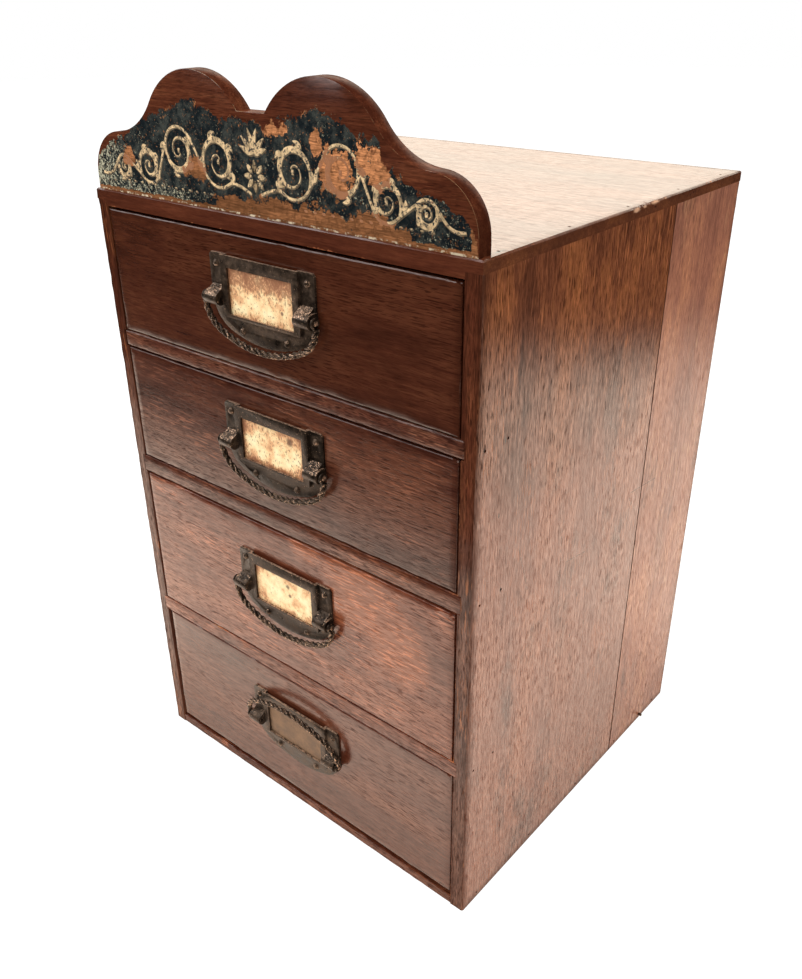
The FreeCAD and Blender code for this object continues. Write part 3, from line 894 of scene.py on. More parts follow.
def sign_material():
    """Dark paint flaked to varnished and bare wood, with dust, rust specks and a front arris that
    is worn and painted with a highlight.
    """
    f = finish()
    s = Shade("Flaking sign paint")
    varnish, height, sound = varnished(s, "X", 33, front_tones(0.72), 0.15, 0.5, 0.5)
    bare, *_ = varnished(s, "X", 35, [tinted(f.bare_wood, g) for g in (0.25, 0.75, 1.5)], 0, 0.5,
                         0.7)
    bare = s.dim(bare, s.z.rise(HEIGHT + 0.009, HEIGHT + 0.019, 0.5, 1.0))
    mask, inside = paint_masks(s)
    around = s.facing(1)
    face = around.rise(-0.6, -0.8)

    rim = inside.rise(-0.009, 0.004) * s.noise(120, 4, 0.7)
    stripped = s.either(rim.rise(0.40, 0.48), inside.rise(0.001, 0.004)) * face
    soiled = s.noise(330, 5, 0.75).rise(0.46, 0.64, 0.0, 0.75)
    bare = s.mix(soiled, bare, tinted(f.bare_wood, 0.22))
    colour = s.mix(stripped, varnish, bare)

    mottle = s.noise(130, 5, 0.7)
    paint = s.mix(mottle.rise(0.42, 0.66), f.sign_paint, f.paint_bloom)
    paint = s.mix(s.cracks(420).rise(0.05, 0.0, 0.0, 0.6), paint, tinted(f.sign_paint, 0.4))
    frayed = s.either(
        s.x.rise(-0.095, -0.142, 0.0, 0.15), s.x.rise(0.095, 0.115, 0.0, 0.05),
        s.x.rise(-0.02, -0.07, 0.0, 0.12) * s.z.rise(HEIGHT + 0.012, HEIGHT + 0.006),
        s.noise(45, 3, 0.6).rise(0.54, 0.66, 0.0, 0.06))
    dust = s.noise(620, 5, 0.8) + frayed
    paint = s.mix(dust.rise(0.63, 0.72, 0.0, 0.9), paint, DUST)
    rust = s.noise(640, 3, 0.7, at=s.stretch(offset=(3, 1, 2)))
    paint = s.mix(rust.rise(0.63, 0.69, 0.0, 0.85), paint, RUST_SPECKS)
    painted = mask * face
    colour = s.mix(painted, colour, paint)

    seam = s.z.rise(HEIGHT + 0.0014, HEIGHT + 0.0008)
    chalk = seam * face * s.noise(240, 4, 0.7).rise(0.50, 0.60)
    colour = s.mix(chalk * 0.85, colour, CHALK)
    grubby = around.rise(-0.4, -0.15) * s.noise(90, 4, 0.65).rise(0.40, 0.56)
    colour = s.mix(grubby * 0.6, colour, tinted(front_tones()[0], 0.7))
    # Front arrises lighter, most towards the right end: wear, and a painted highlight
    rubbed = s.noise(70, 4, 0.7) + s.x.rise(0.10, 0.145, 0.0, 0.12)
    arris = around.rise(-0.95, -0.80) * around.rise(-0.25, -0.45) * rubbed.rise(0.50, 0.58)
    colour = s.mix(arris * 0.8, colour, WORN_AND_HIGHLIT_ARRIS)

    dull = s.either(painted, stripped * 0.8, 1.0 - face)
    s.set(Base_Color=colour, Roughness=dull.level(0, 1, 0.34, 0.66), Specular_IOR_Level=0.0,
          Coat_Weight=sound * dull.level(0, 1, 0.85, 0.15), Coat_Roughness=0.12)
    return s.finished(height * 0.12 + (painted * 1.3 + mottle * 0.35), 0.00015)


def gilt_material(name, tone, wear):
    """Old gilt or cream paint, worn off in specks and wherever the paint under it has flaked."""
    f = finish()
    s = Shade(name)
    mask, _ = paint_masks(s)
    mottle = s.noise(260, 4, 0.65)
    colour = s.shades(mottle.level(0.34, 0.66), tone, 0.42, 1.4)
    gone = s.noise(560, 4, 0.7, at=s.stretch(offset=(5, 2, 1))).rise(0.62 - wear, 0.67 - wear)
    colour = s.mix(gone, colour, tinted(f.sign_paint, 1.8))
    bare = s.mix(s.noise(500, 3, 0.6), tinted(f.bare_wood, 0.5), f.bare_wood)
    colour = s.mix(1.0 - mask, colour, bare)
    s.set(Base_Color=colour, Roughness=mottle.level(0.3, 0.7, 0.36, 0.60), Metallic=0.15)
    return s.finished(mottle - gone, 0.00014)


# Scrolls of the ornament's right half in mm: middle, radius, and which way the vine goes round
# them: 1 passes below, -1 above
SCROLLS = ((29.0, 460.5, 14.0, 1), (62.5, 463.5, 13.0, -1), (92.0, 453.0, 10.0, 1),
           (116.5, 450.0, 6.8, -1))
SCROLL_TURNS = 1.45
LEAF = 7.0                      # length of a leaf on the largest scroll
# Where the pairs of leaves grow on a scroll: degrees from its outer end, and share of its radius
LEAVES = ((20, 1.0), (95, 0.90), (165, 0.80), (235, 0.70))
PETALS = 5
BEADS, FIRST_BEAD, BEAD_STEP, BEAD_ROW = 14, 36, 6.4, 442.3


def on_circle(cx, cz, radius, angle):
    turn = math.radians(angle)
    return cx + radius * math.cos(turn), cz + radius * math.sin(turn)


def spiral(cx, cz, radius, start, turns):
    """Points of a spiral from its outer end inwards, in mm; start in degrees."""
    inner = 0.14 * radius
    return [on_circle(cx, cz, radius * (1 - t) ** 0.85 + inner * t, start + 360 * turns * t)
            for t in (i / 20 for i in range(21))]


def leaf(x, z, angle, length, curl=0.0):
    """Points of a leaf from its stalk to its tip, in mm; angles in degrees."""
    return [on_circle(x, z, length * t, angle + curl * t) for t in (i / 5 for i in range(6))]


def bar(x, z, length):
    """Points of a short level stroke, in mm."""
    return [(x + length * t, z) for t in (0, 0.5, 1)]


def vine():
    """Points of the stem that passes below and above the scrolls by turns, in mm."""
    points = [(3.5, 446.0)]
    for cx, cz, radius, way in SCROLLS:
        first, last = (215, 325) if way > 0 else (145, 35)
        for i in range(5):
            points.append(on_circle(cx, cz, radius + 0.3, first + (last - first) * i / 4))
    return points + [(128.0, 446.5), (134.0, 443.6), (139.5, 444.8)]


def scrollwork():
    """Strokes of the ornament's right half: (points in mm, thickest half width, taper)."""
    strokes = [(vine(), 0.85, "line")]
    for cx, cz, radius, way in SCROLLS:
        start = 325 if way > 0 else 35
        strokes.append((spiral(cx, cz, radius, start, way * SCROLL_TURNS), 1.75, "tail"))
        strokes.append((bar(cx - 0.8, cz, 1.6), 1.4, "line"))
        for k, (turn, share) in enumerate(LEAVES):
            angle = start + way * turn
            x, z = on_circle(cx, cz, radius * share, angle)
            size = LEAF * radius / 14 * (1.05 - 0.1 * k)
            strokes.append((leaf(x, z, angle + way * 25, size, way * 55), 1.5, "leaf"))
            strokes.append((leaf(x, z, angle + way * 75, size * 0.8, way * 35), 1.2, "leaf"))
        back, out = (205, -70) if way > 0 else (155, 70)
        x, z = on_circle(cx, cz, radius, back)
        for turn in (0, 32, 64):
            strokes.append((leaf(x, z, out + way * turn, LEAF * radius / 15, way * 20), 1.3,
                            "leaf"))
    for angle, length in ((90, 14), (63, 12.5), (38, 10)):
        x = 1.5 * math.cos(math.radians(angle))
        strokes.append((leaf(x, 466, angle, length, -14), 1.7, "leaf"))
    for k in range(PETALS):
        angle = 45 * k - 90
        strokes.append((leaf(*on_circle(0, 455.5, 2.4, angle), angle, 6.2), 1.6, "leaf"))
    for k in range(BEADS):
        strokes.append((bar(FIRST_BEAD + BEAD_STEP * k, BEAD_ROW, 2.2), 0.75, "leaf"))
    return strokes


def taper(kind, t):
    """How thick a stroke is at t, from its start at 0 to its end at 1."""
    if kind == "tail":
        return 0.32 + 0.85 * math.sin(math.pi * min(1.0, 0.1 + 1.3 * t)) ** 2 - 0.12 * t
    if kind == "leaf":
        return 0.12 + math.sin(math.pi * t ** 0.75) ** 0.9
    return 1.0


def scrolls(name, thickness, wider=0.0, sideways=0.0, down=0.0):
    """The ornament as thin raised strokes on the sign's face; shifts and widths in mm.

    thickness is how far a stroke stands out, as a share of its half width.
    """
    data = bpy.data.curves.new(name, "CURVE")
    data.dimensions = "3D"
    data.bevel_depth = MM
    data.bevel_resolution = 1
    data.use_fill_caps = True
    data.resolution_u = 4
    for hand in (-1, 1):
        for points, half_width, kind in scrollwork():
            spline = data.splines.new("NURBS")
            spline.points.add(len(points) - 1)
            for i, (x, z) in enumerate(points):
                spline.points[i].co = ((hand * x + sideways) * MM, 0, (z - down) * MM, 1)
                spline.points[i].radius = half_width * taper(kind, i / (len(points) - 1)) + wider
            spline.order_u = 4 if len(points) > 3 else 3
            spline.use_endpoint_u = True
    activate(link(name, data))
    bpy.ops.object.convert(target="MESH")
    made = bpy.context.object
    made.scale.y = thickness
    made.location.y = SIGN_LOW.y
    return outward(settle(made))


class CABINET_OT_sign(bpy.types.Operator):
    """Dress the sign board with flaking paint and gilt scrollwork"""

    bl_idname = "cabinet.sign"
    bl_label = "Sign board"

    def execute(self, context):
        board = copy_of("sign_board", "painted_sign")
        for y, size in SIGN_ARRISES.items():
            soften(board, lambda p: near(p.y, y) and p.z > HEIGHT + ABOVE_FOOT, size, 2)
        dress(board, "cabinet", ["sign_board"], "painted_sign", sign_material())
        gold = finish().gilt
        shade = scrolls("scroll_shades", 0.04, wider=0.25, sideways=0.35, down=0.45)
        dress(shade, "cabinet", [], "painted_sign",
              gilt_material("Worn gilt shade", tinted(gold, 0.20), 0.06), angle=60)
        dress(scrolls("gilt_scrolls", 0.09), "cabinet", [], "painted_sign",
              gilt_material("Worn gilt", gold, 0.09), angle=60)
        paint_node("sign_dowels", raw_wood("Dowel wood", "Z", 5))
        return {"FINISHED"}


# ------------------------------------------------------------------ drawer fronts

# What sets each drawer's front apart; tones are gains on the settings' tones
FRONT_LOOKS = {
    1: {"tones": 0.60, "fleck": 0.10, "relief": 0.35, "figure": 0.35, "grime": 0.35},
    2: {"tones": (0.66, 0.72, 0.86), "fleck": 0.50, "relief": 0.7, "figure": 0.6, "grime": 0.35},
    3: {"tones": (1.34, 1.38, 1.45), "fleck": 0.45, "relief": 1.2, "figure": 0.55, "grime": 0.12},
    4: {"tones": (0.92, 0.94, 1.0), "fleck": 0.15, "relief": 0.7, "figure": 0.35, "grime": 0.12},
}
# Painted highlights, a warm glow with bright flecks, by drawer, in mm: across, up and reach
PAINTED_HIGHLIGHT_SPOTS = {3: ((68, 214, 40), (94, 188, 36), (20, 233, 16))}
CORNER_CHIP = 0.0035, 0.0012, (-0.5, 0.6, -0.5)     # reach, depth and way inwards


class CABINET_OT_fronts(bpy.types.Operator):
    """Dress the drawer fronts in worn varnished wood"""

    bl_idname = "cabinet.fronts"
    bl_label = "Drawer fronts"

    def execute(self, context):
        for number, looks in FRONT_LOOKS.items():
            node = f"drawer_{number}_front"
            low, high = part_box(node)
            corner = (high.x, low.y, high.z)
            board = worn_board(node, f"worn_{node}", (0, 2), [(corner, *CORNER_CHIP)])
            painted_highlight_spots = [(Vector((x * MM, FRONT_Y, z * MM)), reach * MM)
                     for x, z, reach in PAINTED_HIGHLIGHT_SPOTS.get(number, ())]
            looks = {**looks, "tones": front_tones(looks["tones"])}
            material = wood(f"Front varnish {number}", "X", seed=40 + number, box=(low, high),
                            wear=0.4, pores=0.6, painted_highlight_spots=painted_highlight_spots, **looks)
            dress(board, f"drawer_{number}", [node], "front_wood", material)
        return {"FINISHED"}


# ------------------------------------------------------------------ metal

RUST = (0.16, 0.055, 0.022)


def bronzed(name, rub, rust=0.0, tone=1.0):
    """Bronzed iron: near black in its hollows, rubbed to coppery metal in patches."""
    f = finish()
    s = Shade(name)
    mottle = s.noise(190, 4, 0.65)
    fine = s.noise(1300, 3, 0.6)
    colour = s.shades(mottle.level(0.34, 0.66), tinted(f.bronze, tone), 0.35, 2.1)
    patch = fine * 0.6 + s.noise(420, 3, 0.6) * 0.4
    rubbed = patch.rise(0.60 - 0.15 * rub, 0.68 - 0.15 * rub)
    bared = s.mix(s.noise(700, 2, 0.5), tinted(f.copper, 0.45), tinted(f.copper, 1.1))
    colour = s.mix(rubbed * 0.9, colour, bared)
    if rust:
        colour = s.mix(s.noise(420, 4, 0.7).rise(0.46, 0.60, 0.0, rust), colour, RUST)
    s.set(Base_Color=colour, Roughness=mottle.level(0.3, 0.7, 0.26, 0.50), Metallic=0.55,
          Specular_IOR_Level=0.2)
    return s.finished(mottle + fine * 0.6, 0.00018)


# Slots of a plate's finishes
FACE, EDGE, BOSS, UPPER_HIGHLIGHT, FLANK_SHADE = range(5)
# Tone of each drawer's plate, and how far its bosses are rubbed
PLATE_LOOKS = {1: (0.75, 0.62), 2: (0.38, 0.55), 3: (0.38, 0.20), 4: (0.50, 0.24)}
# The slope of a boss's ramp, from the bail's axis: its foot and its head
RAMP_ACROSS = (0.0321, 0.0406)
RAMP_FOOT = Vector((0, -0.0024, 0.0032))
RAMP_HEAD = Vector((0, 0.0030, 0.0067))
PEBBLES = 90                    # on each slope
PLATE_ARRIS = 0.00028
FLANK_DEPTH = 0.0045            # the bosses' flanks are further before the drawer's front
# Upward part of a face's normal above which it is a boss's slope, and an upper edge
SLOPE, LEVEL = 0.4, 0.9


def bail_axis(number):
    """The middle of a bail's axis."""
    name = f"bail_{number}_pivot"
    return Vector(next(j["pos_m"] for j in frame["joints"] if j["name"] == name))


def pebbles(low, high, seed):
    """Pebbles cast on the slope between two opposite corners of a boss's ramp, as one mesh."""
    rolls = random.Random(seed)
    made = []
    deselect()
    for _ in range(PEBBLES):
        down = rolls.random()
        place = Vector((rolls.uniform(low.x, high.x), high.y + (low.y - high.y) * down,
                        high.z + (low.z - high.z) * down))
        size = sizes().pebble * rolls.uniform(0.6, 1.2)
        turn = (rolls.random() * 3, rolls.random() * 3, 0)
        bpy.ops.mesh.primitive_ico_sphere_add(subdivisions=1, radius=size, rotation=turn,
                                              location=place)
        made.append(bpy.context.object)
    return join(made, "pebbles")


class CABINET_OT_plates(bpy.types.Operator):
    """Dress the label plates, their pins and all nails"""

    bl_idname = "cabinet.plates"
    bl_label = "Label plates"

    def execute(self, context):
        pins = bronzed("Rubbed pin", 0.35)
        iron = bronzed("Rusted iron", 0.0, 0.8)
        edge = bronzed("Rubbed edge", 0.80)
        upper = bronzed("Rubbed upper edge with painted highlight", 1.0)
        dark = bronzed("Dark boss with painted shade", 0.05, tone=0.45)
        paint_node("carcass_nails", iron)
        for number, (tone, rub) in PLATE_LOOKS.items():
            face = bronzed(f"Bronzed plate {number}", 0.05 * rub, tone=tone)
            boss = bronzed(f"Rubbed boss {number}", rub, tone=1.5 * tone)
            self.plate(number, (face, edge, boss, upper, dark))
            paint_node(f"plate_pins_{number}", pins)
            paint_node(f"drawer_{number}_nails", iron)
        return {"FINISHED"}

    def plate(self, number, finishes):
        """One plate: rubbed on its arrises and its bosses' pebbles; its upward faces rubbed and
        painted with a highlight; its bosses' flanks dark, partly painted shade.
        """
        node = f"label_plate_{number}"
        plate = copy_of(node, f"bronzed_{node}")
        give(plate, *finishes)
        apply(plate, "BEVEL", width=PLATE_ARRIS, segments=2, limit_method="ANGLE",
              angle_limit=math.radians(40), material=EDGE)
        for polygon in plate.data.polygons:
            # Faces that look straight up get the most rubbed finish: worn metal, and a painted
            # highlight of light from above
            if polygon.normal.z > SLOPE:
                polygon.material_index = BOSS if polygon.normal.z < LEVEL else UPPER_HIGHLIGHT
            # The bosses' fronts and undersides get a dark finish: darker metal, and painted shade
            # under the bosses
            elif polygon.center.y < FRONT_Y - FLANK_DEPTH:
                polygon.material_index = FLANK_SHADE
        axis = bail_axis(number)
        stones = []
        for seed, hand in enumerate((-1, 1)):
            inner, outer = (Vector((hand * across, 0, 0)) for across in RAMP_ACROSS)
            stones.append(pebbles(axis + inner + RAMP_FOOT, axis + outer + RAMP_HEAD,
                                  10 * number + seed))
        cast = join(stones, "cast")
        give(cast, *finishes)
        for polygon in cast.data.polygons:
            polygon.material_index = BOSS
        dress(join([plate, cast], plate.name), f"drawer_{number}", [node], "bronzed_plate",
              angle=50)


# Line of a bail in mm, as it hangs: two corner arcs and a belly arc
BAIL_HALF = 45.4
EYE_HALF = 44.6
BAIL_DROP = 26.5
BELLY_RADIUS = 80.0
CORNER_RADIUS = 19.0
ROPE_END = math.radians(85)     # where the rope meets the eye, round the corner arc
BELLY_STEPS, CORNER_STEPS = 18, 12
EYE_RADIUS, EYE_THICK = 2.35, 0.95
PIVOT_RADIUS = 1.48
PIVOT_ENDS = 38.7, BAIL_HALF + 0.6      # from the bail's middle
PIVOT_ARRIS = 0.4
STRANDS = 3
TWIST_STEPS = 14                # along one turn of a strand


def bail_line():
    """Points along a hanging bail's rope from its left eye to its right, in mm from its axis."""
    belly_z = BELLY_RADIUS - BAIL_DROP
    reach = BELLY_RADIUS - CORNER_RADIUS
    corner_x = BAIL_HALF - CORNER_RADIUS
    corner_z = belly_z - math.sqrt(reach ** 2 - corner_x ** 2)
    turn = math.asin(corner_x / reach)
    right = []
    for i in range(BELLY_STEPS + 1):
        angle = turn * i / BELLY_STEPS
        right.append((BELLY_RADIUS * math.sin(angle), belly_z - BELLY_RADIUS * math.cos(angle)))
    for i in range(1, CORNER_STEPS + 1):
        angle = turn + (ROPE_END - turn) * i / CORNER_STEPS
        right.append((corner_x + CORNER_RADIUS * math.sin(angle),
                      corner_z - CORNER_RADIUS * math.cos(angle)))
    return [(-x, z) for x, z in reversed(right[1:])] + right


def rope(length):
    """Strands twisted together along +Z."""
    size = sizes()
    strands = []
    deselect()
    for k in range(STRANDS):
        angle = math.tau * k / STRANDS
        place = (size.strand_offset * math.cos(angle), size.strand_offset * math.sin(angle), 0)
        bpy.ops.mesh.primitive_circle_add(vertices=8, radius=size.strand_radius, location=place)
        strands.append(bpy.context.object)
    made = join(strands, "rope")
    turns = length / size.rope_pitch
    steps = int(turns * TWIST_STEPS)
    apply(made, "SCREW", angle=math.tau * turns, screw_offset=length, steps=steps,
          render_steps=steps, use_merge_vertices=False)
    edit(made, pick="SELECT")
    bpy.ops.mesh.fill_holes(sides=0)
    leave()
    return outward(made)


class CABINET_OT_bails(bpy.types.Operator):
    """Make the four rope-twist bails"""

    bl_idname = "cabinet.bails"
    bl_label = "Bails"

    raised: bpy.props.FloatProperty(
        name="Raised", description="How far a bail that rests upwards is turned, in degrees",
        default=172.0)

    def execute(self, context):
        # The eyes' dark finish is partly darker metal, partly painted shade of the hole in each eye
        pattern = self.pattern(bronzed("Bronzed bail", 0.52, tone=0.6),
                               bronzed("Dark bronzed eye with painted shade", 0.05, tone=0.4),
                               bronzed("Rubbed pivot", 0.8))
        for number in DRAWERS:
            node = f"bail_{number}"
            bail = link(f"rope_{node}", pattern.data.copy())
            low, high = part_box(node)
            axis = bail_axis(number)
            if high.z - axis.z > axis.z - low.z:
                bail.data.transform(Matrix.Rotation(math.radians(-self.raised), 4, "X"))
            bail.data.transform(Matrix.Translation(axis))
            dress(bail, node, [node], "bronzed_bail", angle=60)
        bpy.data.objects.remove(pattern)
        return {"FINISHED"}

    def pattern(self, *finishes):
        """A bail that hangs from the origin; finishes of its rope, its eyes and its pins."""
        points = bail_line()
        data = bpy.data.curves.new("Bail line", "CURVE")
        data.dimensions = "3D"
        spline = data.splines.new("POLY")
        spline.points.add(len(points) - 1)
        for point, (x, z) in zip(spline.points, points):
            point.co = (x * MM, 0, z * MM, 1)
        path = link("bail_line", data)
        made = rope(sum(math.dist(a, b) for a, b in zip(points, points[1:])) * MM)
        apply(made, "CURVE", object=path, deform_axis="POS_Z")
        bpy.data.objects.remove(path)
        parts = [made, *self.eye(-1), *self.eye(1)]
        for part, slot in zip(parts, (0, 1, 2, 1, 2)):
            give(part, *finishes)
            for polygon in part.data.polygons:
                polygon.material_index = slot
        return join(parts, "bail_pattern")

    def eye(self, hand):
        """The ring at the bail's end, and the pin that it turns on."""
        deselect()
        along_x = (0, math.pi / 2, 0)
        bpy.ops.mesh.primitive_torus_add(
            major_segments=28, minor_segments=12, major_radius=EYE_RADIUS * MM,
            minor_radius=EYE_THICK * MM, rotation=along_x, location=(hand * EYE_HALF * MM, 0, 0))
        ring = bpy.context.object
        inner, outer = (end * MM for end in PIVOT_ENDS)
        bpy.ops.mesh.primitive_cylinder_add(
            vertices=20, radius=PIVOT_RADIUS * MM, depth=outer - inner, rotation=along_x,
            location=(hand * (inner + outer) / 2, 0, 0))
        pin = bpy.context.object
        soften(pin, lambda p: True, PIVOT_ARRIS * MM, 2)
        return [settle(ring), settle(pin)]


# ------------------------------------------------------------------ cards

CARD_BROWNS = ((0.32, (1.0, 0.72, 0.38)), (0.62, (0.78, 0.42, 0.20)), (1.0, (0.42, 0.18, 0.085)))
CARD_SPECKS = (0.28, 0.11, 0.045)
BLOT = (0.10, 0.045, 0.025)
# How far a card stands before its plate, how far it waves and how thick it is
CARD_GAP, CARD_SWAY, CARD_THICKNESS = 0.00004, 0.00012, 0.00022
# How brown each card is towards its top (foxing, and a painted shadow of the plate's frame) and
# towards its rim, how many specks more than the third it has, and its blots in mm: across and up
# from its middle, and reach
CARD_FOXING_AND_SHADE = {
    1: (0.15, 0.05, 0.030, ((16.5, -8.0, 1.6),)),
    2: (0.0375, 0.16, 0.030, ((15.0, 6.0, 3.5),)),
    3: (0.0, 0.10, 0.0, ((3.5, 4.5, 2.4), (5.0, -2.0, 1.8))),
}


def card_material(number, low, high):
    """Old card: the foxed ones browned from their rims and some towards their tops, partly a
    painted shadow of the plate's frame, with specks and blots, or plain brown.
    """
    f = finish()
    s = Shade(f"Card {number}")
    shift = (number * 0.31, 0, number * 0.17)
    cloud = s.noise(75, 5, 0.68, at=s.stretch(offset=shift))
    speck = s.noise(850, 2, 0.6, at=s.stretch((1, 1, 0.6), shift))
    if number in CARD_FOXING_AND_SHADE:
        top_foxing_and_shade, at_rim, more, blots = CARD_FOXING_AND_SHADE[number]
        up = s.z.level(low.z, high.z)
        across = s.x.level(low.x, high.x)
        rim = across * (1.0 - across) * (up * (1.0 - up))
        # Browner towards the top: foxing, and a painted shadow of the plate's frame
        foxing_and_shade = up.rise(0.30, 0.70, 0.0, top_foxing_and_shade) + rim.rise(0.030, 0.0, 0.0, at_rim)
        colour = s.ramp((cloud * 0.9 + foxing_and_shade).level(0.36, 0.66), (0.0, f.card), *CARD_BROWNS)
        speck = speck * 0.6 + s.noise(380, 5, 0.75) * 0.4
        dots = (foxing_and_shade * 0.8 + speck).rise(0.585 - more, 0.635 - more)
        colour = s.mix(dots * 0.75, colour, CARD_SPECKS)
        middle = (low + high) / 2
        for x, z, reach in blots:
            blot = s.spot(middle + Vector((x, 0, z)) * MM, reach * MM, 0.9)
            colour = s.mix(blot * 0.8, colour, BLOT)
    else:
        tan = f.plain_card
        colour = s.mix(cloud.rise(0.35, 0.65), tinted(tan, 0.7), tinted(tan, 1.3))
        colour = s.mix(speck.rise(0.60, 0.70, 0.0, 0.5), colour, tinted(tan, 0.4))
    s.set(Base_Color=colour, Roughness=cloud.level(0.3, 0.7, 0.62, 0.85))
    return s.finished(cloud + speck, 0.00008)


class CABINET_OT_cards(bpy.types.Operator):
    """Make the four cards in the label plates"""

    bl_idname = "cabinet.cards"
    bl_label = "Cards"

    def execute(self, context):
        for number in DRAWERS:
            node = f"card_{number}"
            low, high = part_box(node)
            middle = (low + high) / 2
            deselect()
            bpy.ops.mesh.primitive_grid_add(x_subdivisions=28, y_subdivisions=18, size=1)
            card = bpy.context.object
            card.name = f"foxed_{node}"
            card.scale = (high.x - low.x, high.z - low.z, 1)
            card.rotation_euler = (math.pi / 2, 0, 0)
            card.location = (middle.x, low.y + CARD_GAP, middle.z)
            settle(card)
            for vertex in card.data.vertices:
                sway = noise.noise(Vector((vertex.co.x * 60, number * 3.0, vertex.co.z * 60)))
                vertex.co.y += CARD_SWAY * (1 + sway)
            apply(card, "SOLIDIFY", thickness=CARD_THICKNESS, offset=-1)
            slot = "foxed_card" if number in CARD_FOXING_AND_SHADE else "plain_card"
            dress(card, f"drawer_{number}", [node], slot, card_material(number, low, high))
        return {"FINISHED"}


# ------------------------------------------------------------------ stage

# The lamps' place, aim and size
OVERHEAD = ((0.0, 0.25, 1.9), (0, 0.05, 0.2), 1.8)
WINDOW = ((-1.10, -0.95, 1.35), (0, -0.1, 0.25), 1.2)
# Which ways are the camera's right and the one behind it, and its lens's shift
CAMERA_RIGHT = Vector((0.75759, 0.65253, -0.01595))
CAMERA_BACK = Vector((0.58144, -0.66354, 0.47078))
CAMERA_SHIFT = (0.01561, 0.00067)
SWEEP_WHITE = (0.93, 0.92, 0.91)
FLOOR_GREY = (0.30, 0.29, 0.28)
FLOOR_RADIUS = 7.0
# How bright the sweep is to the camera, and the share of it that takes real shadows
SWEEP_GLOW, SHADOWED = 1.22, 0.22
DAYLIGHT = (1.0, 0.985, 0.97)
BEHIND = (-0.60, 0.80, 0.0)     # which way the bright backdrop is


def softbox(name, place, aim, size, power, mirrored):
    """A square area lamp that the camera doesn't see, and gloss only where it is mirrored."""
    data = bpy.data.lights.new(name, "AREA")
    data.size = size
    data.energy = power
    lamp = link(name, data)
    lamp.location = place
    lamp.rotation_euler = (Vector(aim) - Vector(place)).to_track_quat("-Z", "Y").to_euler()
    lamp.visible_camera = False
    lamp.visible_glossy = mirrored


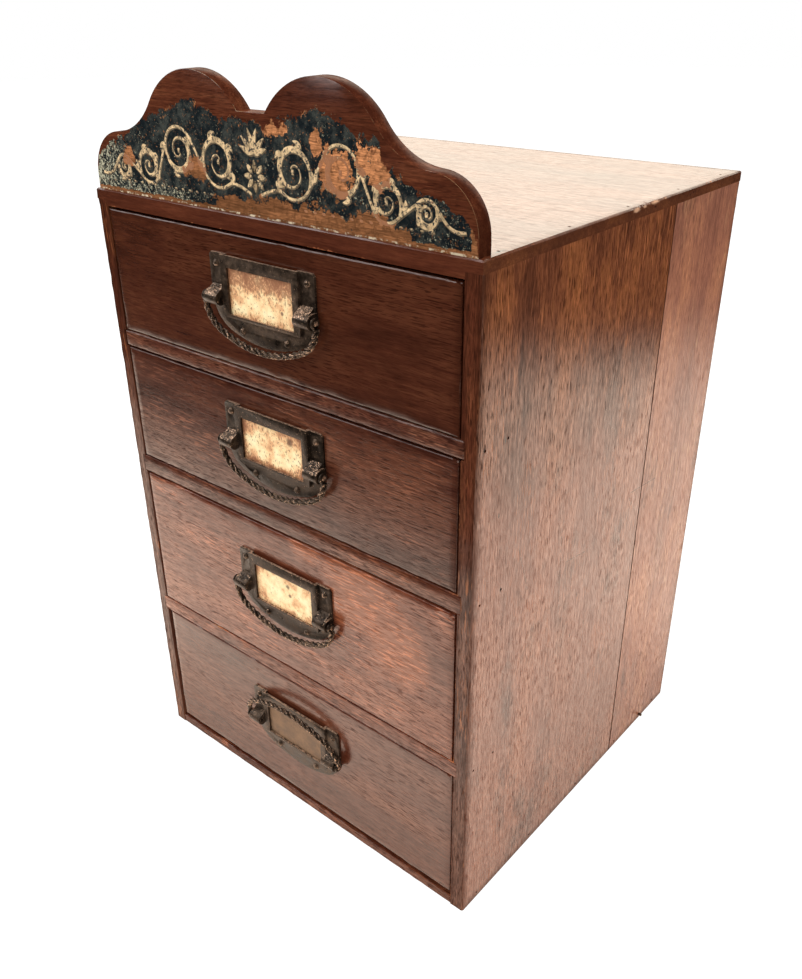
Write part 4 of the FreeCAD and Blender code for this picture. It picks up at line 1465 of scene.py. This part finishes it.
class CABINET_OT_stage(bpy.types.Operator):
    """Set the floor, the room light, the softbox and the camera"""

    bl_idname = "cabinet.stage"
    bl_label = "Stage"

    def execute(self, context):
        stage = context.scene.cabinet_stage
        self.floor(context, stage)
        self.room(context, stage)
        self.camera(context, stage)
        softbox("overhead_softbox", *OVERHEAD, stage.key_power, False)
        softbox("left_window", *WINDOW, stage.window_power, True)
        context.scene.view_settings.view_transform = "Standard"
        return {"FINISHED"}

    def floor(self, context, stage):
        """A white sweep lies under and behind the object, on a darker floor."""
        deselect()
        bpy.ops.mesh.primitive_circle_add(vertices=64, radius=FLOOR_RADIUS, fill_type="NGON")
        floor = context.object
        floor.name = "studio_floor"
        s = Shade("Studio floor")
        beyond = abs(s.x) + s.math("MAXIMUM", s.y, 0.0)
        on_sweep = beyond.rise(1.72, 1.16) * s.y.rise(-0.56, -0.43)
        s.set(Base_Color=s.mix(on_sweep, FLOOR_GREY, SWEEP_WHITE), Roughness=0.9,
              Specular_IOR_Level=0.0)
        white = s.read(s.node("ShaderNodeEmission", (1, 1, 1), SWEEP_GLOW))
        shaded = s.read(s.node("ShaderNodeBsdfDiffuse", SWEEP_WHITE))
        # In reflections the floor is darker near the object's footprint: a painted shadow of the
        # object
        away = s.either(abs(s.x) - HALF_WIDTH, abs(s.y) + FRONT_Y)
        bright = on_sweep.level(0, 1, stage.shade, stage.sweep)
        strength = away.rise(-0.08, 0.15, 0.25, 1.0) * bright
        mirrored = s.read(s.node("ShaderNodeEmission", stage.sweep_tint, strength))
        rays = s.node("ShaderNodeLightPath")
        plain = s.switch(s.read(rays, "Is Camera Ray"), s.read(s.shader),
                         s.switch(SHADOWED, white, shaded))
        s.close("Material", s.switch(s.read(rays, "Is Glossy Ray"), plain, mirrored))
        s.material.cycles.emission_sampling = "NONE"
        floor.data.materials.append(s.material)

    def room(self, context, stage):
        """Even light, white to the camera, with the bright backdrop behind in reflections."""
        world = bpy.data.worlds.new("Studio")
        context.scene.world = world
        world.use_nodes = True
        sky = Nodes(world.node_tree)
        way = sky.read(sky.coordinates, "Generated")
        up = sky.split(way)[2]
        behind = sky.vector("DOT_PRODUCT", way, BEHIND, output="Value")
        bright = behind.rise(0.45, 0.75) * up.rise(0.75, 0.35)
        climb = up.level(0.13, 0.27, stage.backdrop, 2.2 * stage.backdrop)
        strength = bright.level(0.0, 1.0, stage.shade, climb)
        even = sky.read(sky.node("ShaderNodeBackground", DAYLIGHT, stage.room))
        mirrored = sky.read(sky.node("ShaderNodeBackground", stage.backdrop_tint, strength))
        white = sky.read(sky.node("ShaderNodeBackground", (1, 1, 1), 1.0))
        rays = sky.node("ShaderNodeLightPath")
        glossy = sky.switch(sky.read(rays, "Is Glossy Ray"), even, mirrored)
        sky.close("World", sky.switch(sky.read(rays, "Is Camera Ray"), glossy, white))
        world.cycles.sampling_method = "NONE"

    def camera(self, context, stage):
        data = bpy.data.cameras.new("Camera")
        data.sensor_width = 36.0
        data.lens = stage.lens
        data.shift_x, data.shift_y = CAMERA_SHIFT
        data.clip_start = 0.01
        camera = link("Camera", data)
        turn = Matrix((CAMERA_RIGHT, CAMERA_BACK.cross(CAMERA_RIGHT), CAMERA_BACK))
        camera.matrix_world = (Matrix.Translation(Vector(stage.camera_place))
                               @ turn.transposed().to_4x4())
        context.scene.camera = camera


class CABINET_PT_panel(bpy.types.Panel):
    """Lists the makers of the cabinet's pieces"""

    bl_label = "Drawer cabinet"
    bl_space_type = "VIEW_3D"
    bl_region_type = "UI"
    bl_category = "Cabinet"

    def draw(self, context):
        for maker in MAKERS:
            self.layout.operator(maker.bl_idname)
        for group in (finish(), sizes(), context.scene.cabinet_stage):
            for key in group.__annotations__:
                self.layout.prop(group, key)


MAKERS = (CABINET_OT_stage, CABINET_OT_carcass, CABINET_OT_inner_wood, CABINET_OT_sign,
          CABINET_OT_fronts, CABINET_OT_plates, CABINET_OT_bails, CABINET_OT_cards)
GROUPS = {"cabinet_finish": CabinetFinish, "cabinet_sizes": CabinetSizes,
          "cabinet_stage": CabinetStage}


def register():
    for cls in (*GROUPS.values(), *MAKERS, CABINET_PT_panel):
        bpy.utils.register_class(cls)
    for name, group in GROUPS.items():
        setattr(bpy.types.Scene, name, bpy.props.PointerProperty(type=group))


def unregister():
    for name in GROUPS:
        delattr(bpy.types.Scene, name)
    for cls in (CABINET_PT_panel, *MAKERS, *GROUPS.values()):
        bpy.utils.unregister_class(cls)


def main():
    register()
    bpy.ops.cabinet.stage()
    bpy.ops.cabinet.carcass()
    bpy.ops.cabinet.inner_wood()
    bpy.ops.cabinet.sign()
    bpy.ops.cabinet.fronts()
    bpy.ops.cabinet.plates()
    bpy.ops.cabinet.bails()
    bpy.ops.cabinet.cards()


if __name__ == "__main__":
    main()
